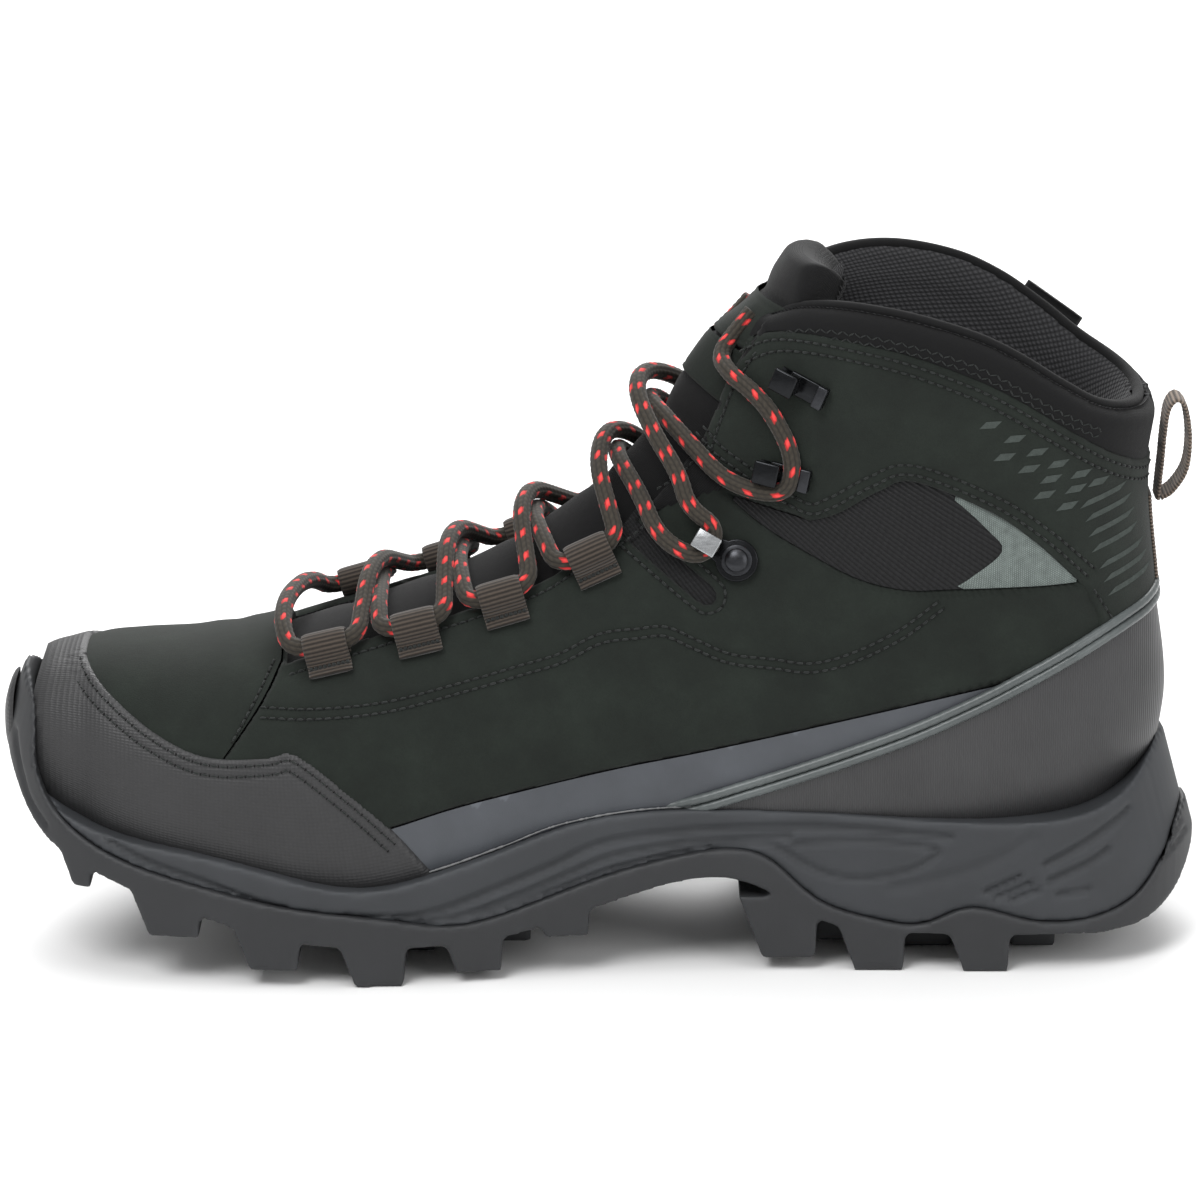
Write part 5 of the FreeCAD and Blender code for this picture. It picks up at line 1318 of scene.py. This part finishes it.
for name, shift in (("upper", 1.25), ("lower", -1.25)):
    sides = {}
    for side in (-1, 1):
        places = smooth_run([(x, z + shift) for x, z in PIPING_STATIONS], 0.8)
        flat = on_skin(places[:, 0], places[:, 1], side)
        lift = np.interp(places[:, 0] - places[0, 0], [0.0, 12.0], [-1.5, 1.0])
        sides[side] = flat + outward(flat) * lift[:, None]
    travel, turn, _ = side_place(*places[-1], -1)
    middle_travel = heel_travel(89.8 + shift)
    u = np.linspace(-1.0, 1.0, 42)[1:-1]
    heel_travels, heel_turns = middle_travel + (travel - middle_travel) * u * u, -u * turn
    heel = skin(heel_travels, heel_turns) + skin_normal(heel_travels, heel_turns) * 1.0
    line = np.vstack([sides[-1], heel, sides[1][::-1]])
    line, _ = evenly(smooth_run(line[::6].tolist(), 0.5), 0.6)
    radius = PIPING_RADIUS + 0.03 * np.sin(np.arange(len(line)) * 0.6 * 2.2)
    ring, ring_angle = rings_along(line, radius, 14)
    uv = np.stack(np.broadcast_arrays(np.arange(len(line))[:, None] * 0.6, ring_angle[None, :]),
                  axis=-1).reshape(-1, 2)
    item = mesh_object(f"piping_{name}", ring.reshape(-1, 3), grid_faces(len(line), 14, closed=True),
                       MATERIALS["piping"], "boot", uv)
    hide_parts(f"heel_piping_{name}")

strap_z = np.linspace(92.0, 113.5, 60)
strap_travel = np.array([heel_travel(z) for z in strap_z])
strap = skin(strap_travel, 0.0) + skin_normal(strap_travel, 0.0) * 1.1
strap_item = tape("heel_strap_webbing", strap, skin_normal(strap_travel, 0.0),
                  (0.0, 1.0, 0.0), 12.0, 1.3, MATERIALS["pull_webbing"], columns=17)
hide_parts("heel_strap")

pull_line = [(138.9, 112.4), (139.3, 117.5), (139.7, 122.0), (140.2, 129.0), (141.1, 135.3),
             (143.2, 137.7), (145.3, 135.5), (146.5, 128.0), (145.8, 120.0), (142.6, 114.6),
             (139.6, 112.6)]
line = smooth_run(pull_line, 0.3)
tangent = np.gradient(line, axis=0)
tangent /= np.linalg.norm(tangent, axis=1)[:, None]
centre = np.stack([line[:, 0], np.full(len(line), CENTRE_Y), line[:, 1]], axis=1)
facing = np.stack([-tangent[:, 1], np.zeros(len(line)), tangent[:, 0]], axis=1)
pull = tape("pull_loop_webbing", centre, facing, (0.0, 1.0, 0.0), 12.0, 1.2,
            MATERIALS["pull_webbing"], "pull_loop", columns=17)
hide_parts("heel_pull_loop")

origin, axes = surface_frame(113.0, 150.8, 1, 0.84, -0.54, 0.8)
tag_line = np.array([[0.0, -4.4], [0.35, -3.0], [0.45, 0.0], [0.5, 3.2], [0.35, 4.3],
                     [-0.1, 4.6], [-0.4, 4.1]])
run = smooth_run(tag_line, 0.3)
centre = origin + run[:, 1:] * axes[1] + run[:, :1] * axes[2]
tangent = np.gradient(run, axis=0)
tangent /= np.linalg.norm(tangent, axis=1)[:, None]
facing = tangent[:, 1:] * axes[2] - tangent[:, :1] * axes[1]
tag = tape("side_tag_folded", centre, facing, axes[0], 17.0, 0.5, MATERIALS["tag_film"],
           columns=15, ribs=0.02)
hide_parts("side_tag")

# ----------------------------------------------------------------------- printed marks
MARK_PLACES = [(94.7, 139.2), (100.6, 135.7), (98.3, 131.0), (106.1, 132.2), (104.2, 127.9),
               (111.2, 128.9), (109.5, 125.1), (108.1, 121.1), (116.8, 125.8), (115.6, 122.1),
               (113.7, 117.9), (121.2, 123.2)]
BAR_PLACES = [(122.6, 119.3), (124.0, 115.8), (124.9, 111.8), (125.8, 107.8), (127.7, 103.3),
              (128.9, 99.8), (130.0, 96.2)]
mark_points, mark_faces, mark_uv = [], [], []
for side in (-1, 1):
    shapes = [(x, z, 1.9, 0.95, -0.08, 0.9) for x, z in MARK_PLACES] + [
        (x, z, 5.2, 1.0, -0.3, 1.0) for x, z in BAR_PLACES]
    for x, z, half_long, half_wide, slope, skew in shapes:
        u, v = np.meshgrid(np.linspace(-1, 1, 15), np.linspace(-1, 1, 4), indexing="ij")
        px = x + u * half_long * math.cos(slope) + v * half_wide * skew
        pz = z - u * half_long * math.sin(slope) + v * half_wide
        placed = on_skin(px.ravel(), pz.ravel(), side, 1.18)
        start = sum(len(p) for p in mark_points)
        mark_points.append(placed)
        mark_uv.append(np.stack([px.ravel(), pz.ravel()], axis=1))
        mark_faces += [tuple(start + i for i in face) for face in grid_faces(15, 4)]
marks = mesh_object("printed_marks", np.vstack(mark_points), mark_faces, MATERIALS["pale_marks"],
                    "boot", np.vstack(mark_uv))

for group, slot in (("toe", "coated_leather"), ("quarter", "nubuck"), ("overlay", "nubuck"),
                    ("collar", "softshell"), ("bars", "webbing"), ("flaps", "softshell")):
    thread_mesh(group, MATERIALS["thread"])
# The dots at the needle holes of these seams, in near-black: painted shade of the holes.
for group, slot in (("toe", "coated_leather"), ("quarter", "nubuck"), ("overlay", "nubuck"),
                    ("flaps", "softshell")):
    thread_mesh(group + "_holes", MATERIALS["painted_hole_shade"])

# The line where the upper is bonded into the sole.
for name, side, turns in HALVES:
    line = skin_line(shifted(FEATHER_LINE[1:-1], 0.0, 0.5), side, 0.35, 0.5)
    line, _ = evenly(line, 0.5)
    bead = 0.18 + 0.16 * np.clip(np.cumsum(rng.normal(0, 0.35, len(line))) % 2.0 - 0.6, 0.0, 1.0)
    ring, _ = rings_along(line, bead, 8)
    mesh_object(f"bond_line_{name}", ring.reshape(-1, 3), grid_faces(len(line), 8, closed=True),
                MATERIALS["glue"], "boot",
                np.repeat(line[:, [0, 2]], 8, axis=0))


# --------------------------------------------------------------------- sole and footbed
def remeshed(name, node, voxel, material, body="boot", rounds=2):
    """A free copy of a CAD solid as an even mesh, with softened edges."""
    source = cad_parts[node]
    mesh = source.data.copy()
    item = bpy.data.objects.new(name, mesh)
    bpy.context.collection.objects.link(item)
    item.matrix_world = source.matrix_world
    bpy.ops.object.select_all(action="DESELECT")
    item.select_set(True)
    bpy.context.view_layer.objects.active = item
    bpy.ops.object.transform_apply(location=True, rotation=True, scale=True)
    remesh = item.modifiers.new("even", "REMESH")
    remesh.mode = "VOXEL"
    remesh.voxel_size = voxel * MM
    bpy.ops.object.modifier_apply(modifier="even")
    if rounds:
        soften = item.modifiers.new("soften", "SMOOTH")
        soften.iterations = rounds
        soften.factor = 0.5
        bpy.ops.object.modifier_apply(modifier="soften")
    item.data.materials.clear()
    item.data.materials.append(material)
    item.data.shade_smooth()
    finish_piece(item, body)
    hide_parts(node)
    return item


def shape_surface(item, height):
    """Move a mesh's points along their normals by height(points, normals), in mm."""
    mesh = item.data
    count = len(mesh.vertices)
    points, normals = np.zeros(count * 3), np.zeros(count * 3)
    mesh.vertices.foreach_get("co", points)
    mesh.vertices.foreach_get("normal", normals)
    points, normals = points.reshape(-1, 3) / MM, normals.reshape(-1, 3)
    points = points + normals * height(points, normals)[:, None]
    mesh.vertices.foreach_set("co", (points * MM).ravel())
    mesh.update()


def side_distance(points, line):
    """Distance in the side view from points to a line."""
    line = np.column_stack([line[:, 0], np.zeros(len(line)), line[:, 1]])
    flat = points * np.array([1.0, 0.0, 1.0])
    _, distance = nearest(tree_of(line), flat)
    return distance


# Side-view lines moulded into the midsole, with their widths and shares of the depth.
GROOVE_DEPTH = 1.6
MIDSOLE_GROOVES = [
    ([(-135.7, 46.0), (-116.5, 32.7), (-98.0, 26.1), (-80.5, 19.9), (-61.0, 17.3),
      (-43.3, 17.8), (-25.7, 23.5), (-12.0, 28.6), (0.7, 33.8), (19.9, 36.0), (40.0, 36.8),
      (60.2, 36.5), (86.4, 34.4)], 0.9, 0.9),
    ([(-61.0, 15.4), (-38.4, 16.3), (-21.8, 20.9), (-8.1, 26.1), (2.7, 30.1), (22.9, 33.3),
      (46.1, 34.5)], 0.8, 0.8),
    ([(-30.0, 16.8), (-10.4, 22.6), (2.7, 26.8), (19.9, 30.6), (34.0, 32.6), (42.1, 32.2),
      (50.0, 27.6), (57.0, 24.4), (65.4, 23.5), (76.4, 25.9), (82.4, 29.6), (82.9, 31.2),
      (78.4, 32.3), (64.2, 33.3), (48.1, 32.6)], 0.7, 0.75),
    ([(72.5, 21.1), (86.6, 24.3), (98.6, 29.1), (106.6, 34.4)], 1.6, 0.5),
    ([(95.2, 20.3), (103.7, 24.3)], 0.6, 1.1), ([(97.7, 18.9), (106.2, 22.7)], 0.6, 1.1),
    ([(101.8, 18.4), (108.3, 20.9)], 0.6, 1.0),
    ([(110.2, 27.3), (120.7, 32.6), (133.7, 39.3)], 0.8, 1.0),
    ([(111.3, 23.0), (120.8, 27.0), (126.3, 30.1)], 0.8, 1.0),
    ([(113.4, 19.4), (121.0, 20.2)], 0.7, 0.9),
]
HEEL_RIBS = [[(134.9, 29.1), (145.9, 35.4)], [(135.1, 27.0), (146.4, 33.2)],
             [(134.8, 24.9), (147.0, 31.0)], [(134.5, 22.5), (147.5, 28.6)]]


def lean_in(item):
    """Lean the sole's rims in to the toe cap and to the heel."""
    mesh = item.data
    points = np.zeros(len(mesh.vertices) * 3)
    mesh.vertices.foreach_get("co", points)
    points = points.reshape(-1, 3) / MM
    x, z = points[:, 0], points[:, 2]
    toe = np.clip((z - 50.0) / 30.0, 0.0, 1.0) ** 1.5 * np.clip((-118.0 - x) / 18.0, 0.0, 1.0)
    heel = np.clip((z - 27.0) / 26.0, 0.0, 1.0) * np.clip((x - 112.0) / 30.0, 0.0, 1.0)
    points[:, 0] += 8.5 * toe - 7.0 * heel
    mesh.vertices.foreach_set("co", (points * MM).ravel())
    mesh.update()


def midsole_relief(points, normals):
    """Moulded lines along the midsole's walls."""
    wall = np.clip((0.8 - np.abs(normals[:, 2])) / 0.3, 0.0, 1.0)
    depth = np.zeros(len(points))
    for line, width, deep in MIDSOLE_GROOVES:
        distance = side_distance(points, smooth_run(line, 0.5))
        depth -= GROOVE_DEPTH * deep * np.exp(-(distance / width) ** 2)
    return depth * wall


def outsole_relief(points, normals):
    """Ribs moulded round the outsole's heel and a groove round its toe bumper."""
    wall = np.clip((0.9 - np.abs(normals[:, 2])) / 0.3, 0.0, 1.0)
    depth = np.zeros(len(points))
    for line in HEEL_RIBS:
        depth -= 0.8 * np.exp(-(side_distance(points, smooth_run(line, 0.5)) / 0.55) ** 2)
    bumper = smooth_run([(-147.5, 57.5), (-144.9, 49.9), (-142.6, 42.9), (-137.9, 37.0)], 0.5)
    depth -= 0.9 * np.exp(-(side_distance(points, bumper) / 0.7) ** 2)
    return depth * wall


midsole = remeshed("midsole_moulded", "midsole", 1.0, MATERIALS["midsole_foam"])
shape_surface(midsole, midsole_relief)
lean_in(midsole)
outsole = remeshed("outsole_moulded", "outsole", 0.9, MATERIALS["sole_rubber"], rounds=1)
shape_surface(outsole, outsole_relief)
lean_in(outsole)
footbed = remeshed("footbed_cushion", "footbed", 1.2, MATERIALS["footbed_foam"],
                   "footbed", 3)

# -------------------------------------------------------------------------- CAD pieces
for node, material, slot in (
        ("toe_puff", "ribbed_textile", None), ("heel_stiffener", "ribbed_textile", None),
        ("insole_board", "ribbed_textile", None), ("bottom_filler", "ribbed_textile", None),
        ("shank", "dark_metal", None)):
    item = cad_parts[node]
    item.data.materials.clear()
    item.data.materials.append(MATERIALS[material])
for node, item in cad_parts.items():
    if "hook" in node or "rivet" in node:
        item.data.materials.clear()
        item.data.materials.append(MATERIALS["dark_metal"])
        bevel = item.modifiers.new("edges", "BEVEL")
        bevel.width = 0.45 * MM
        bevel.segments = 3
        bevel.limit_method = "ANGLE"
        bevel.angle_limit = math.radians(40.0)
        item.data.shade_smooth()

HARDWARE = {
    "medial": (-1, (33.4, 102.2), [(44.5, 124.0), (49.0, 146.4)]),
    "lateral": (1, (36.6, 104.4), [(45.5, 126.0), (49.9, 148.0)]),
}


def bevelled(name, origin, axes, outline_uv, low, high, material, width=0.35):
    """A flat plate with rounded edges, from an outline in a skin frame's plane."""
    shape = np.array(outline_uv, float)
    count = len(shape)
    points = np.vstack([origin + shape[:, :1] * axes[0] + shape[:, 1:] * axes[1] + axes[2] * h
                        for h in (low, high)])
    faces = [tuple(range(count))[::-1], tuple(range(count, 2 * count))]
    faces += [(i, (i + 1) % count, (i + 1) % count + count, i + count) for i in range(count)]
    item = mesh_object(name, points, faces, material)
    edge = item.modifiers.new("edges", "BEVEL")
    edge.width = width * MM
    edge.segments = 3
    edge.limit_method = "ANGLE"
    edge.angle_limit = math.radians(35.0)
    return item


for name, (side, ankle, speeds) in HARDWARE.items():
    origin, axes = surface_frame(*ankle, side, -0.85, 0.51, 0.3)
    arc = np.radians(np.arange(35.0, 326.0, 12.0))
    tear = [(5.3 * math.cos(a), 5.3 * math.sin(a)) for a in arc]
    tear = tear + [(7.0, -2.6), (11.2, -2.5), (11.2, 2.5), (7.0, 2.6)]
    bevelled(f"ankle_plate_{name}", origin, axes, tear, 0.9, 2.0, MATERIALS["dark_metal"])
    # A pale plate on the top face of the hook's lip: painted highlight of that face.
    cap = [(5.0, -2.5), (11.4, -2.5), (11.4, 2.5), (5.0, 2.5)]
    bevelled(f"ankle_highlight_tab_{name}", origin, axes, cap, 6.6, 7.6, MATERIALS["bright_metal"])
    ring = [(3.9 * math.cos(a), 3.9 * math.sin(a)) for a in np.radians(np.arange(0, 360, 15))]
    bevelled(f"rivet_rim_{name}", origin, axes, ring, 1.9, 2.6, MATERIALS["rivet_metal"], 0.3)
    dome_u, dome_v = np.meshgrid(np.linspace(0.0, 1.0, 9), np.radians(np.arange(0, 360, 15)), indexing="ij")
    flat = 3.0 * np.sin(dome_u * math.pi / 2)
    dome = (origin + (flat * np.cos(dome_v))[..., None] * axes[0]
            + (flat * np.sin(dome_v))[..., None] * axes[1]
            + (2.5 + 1.2 * np.cos(dome_u * math.pi / 2))[..., None] * axes[2])
    mesh_object(f"rivet_dome_{name}", dome.reshape(-1, 3), grid_faces(9, 24, closed=True),
                MATERIALS["rivet_metal"])
    for index, (place, pull) in enumerate(zip(speeds, [(-1.0, 0.2), (-1.0, 0.4)]), start=1):
        origin, axes = surface_frame(*place, side, *pull, 0.3)
        base = [(-7.6, -2.7), (3.0, -2.7), (3.0, 2.7), (-7.6, 2.7)]
        bevelled(f"speed_base_{name}_{index}", origin, axes, base, 0.8, 2.1, MATERIALS["dark_metal"])
        boss = [(-7.6, -2.9), (-4.9, -2.9), (-4.9, 2.9), (-7.6, 2.9)]
        bevelled(f"speed_boss_{name}_{index}", origin, axes, boss, 1.6, 3.4, MATERIALS["rivet_metal"])
        tab = [(-0.4, -2.9), (6.0, -2.9), (6.0, 2.9), (-0.4, 2.9)]
        bevelled(f"speed_tab_{name}_{index}", origin, axes, tab, 5.2, 6.6, MATERIALS["dark_metal"], 0.5)

# ------------------------------------------------------------- light, floor and camera
def area_light(name, place, target, size_m, power, colour=(1.0, 1.0, 1.0)):
    """A soft area light aimed at a point."""
    data = bpy.data.lights.new(name, "AREA")
    data.shape = "DISK"
    data.size = size_m
    data.energy = power
    data.color = colour
    item = bpy.data.objects.new(name, data)
    bpy.context.collection.objects.link(item)
    item.location = place
    aim = Vector(target) - Vector(place)
    item.rotation_euler = aim.to_track_quat("-Z", "Y").to_euler()
    return item


middle = (0.0, 0.0, 0.08)
area_light("key", (-0.5, -0.9, 1.3), middle, 0.8, 15.0)
area_light("fill", (0.9, -0.9, 0.6), middle, 0.9, 5.0)
area_light("rear", (0.2, 1.0, 0.9), middle, 0.9, 8.0)
area_light("top", (0.0, 0.0, 1.5), middle, 1.2, 8.0)
area_light("backdrop", (0.0, 2.6, 1.8), (0.0, 2.0, 0.0), 2.0, 30.0)
bpy.context.scene.view_settings.view_transform = "Standard"

floor_mesh = bpy.data.meshes.new("floor")
floor_mesh.from_pydata([(-9, -9, -0.0002), (9, -9, -0.0002), (9, 15, -0.0002), (-9, 15, -0.0002)],
                       [], [(0, 1, 2, 3)])
floor = bpy.data.objects.new("floor", floor_mesh)
bpy.context.collection.objects.link(floor)
pale = bpy.data.materials.new("pale_floor")
pale.use_nodes = True
pale.node_tree.nodes["Principled BSDF"].inputs["Base Color"].default_value = (0.86, 0.86, 0.86, 1.0)
pale.node_tree.nodes["Principled BSDF"].inputs["Roughness"].default_value = 0.75
floor_mesh.materials.append(pale)

world = bpy.data.worlds.new("studio")
world.use_nodes = True
world.node_tree.nodes["Background"].inputs["Color"].default_value = (1.0, 1.0, 1.0, 1.0)
world.node_tree.nodes["Background"].inputs["Strength"].default_value = 0.62
bpy.context.scene.world = world

camera_data = bpy.data.cameras.new("camera")
camera = bpy.data.objects.new("camera", camera_data)
bpy.context.collection.objects.link(camera)
bpy.context.scene.camera = camera
camera_data.lens = 178.5
camera_data.shift_x = -0.0017
camera_data.shift_y = -0.012
elevation = math.radians(15.0)
CAMERA_REACH, AIM_HEIGHT = 1.5, 0.088
camera.location = (0.0, -CAMERA_REACH * math.cos(elevation),
                   AIM_HEIGHT + CAMERA_REACH * math.sin(elevation))
camera.rotation_euler = (math.radians(90.0) - elevation, 0.0, 0.0)
camera_data.clip_end = 20.0
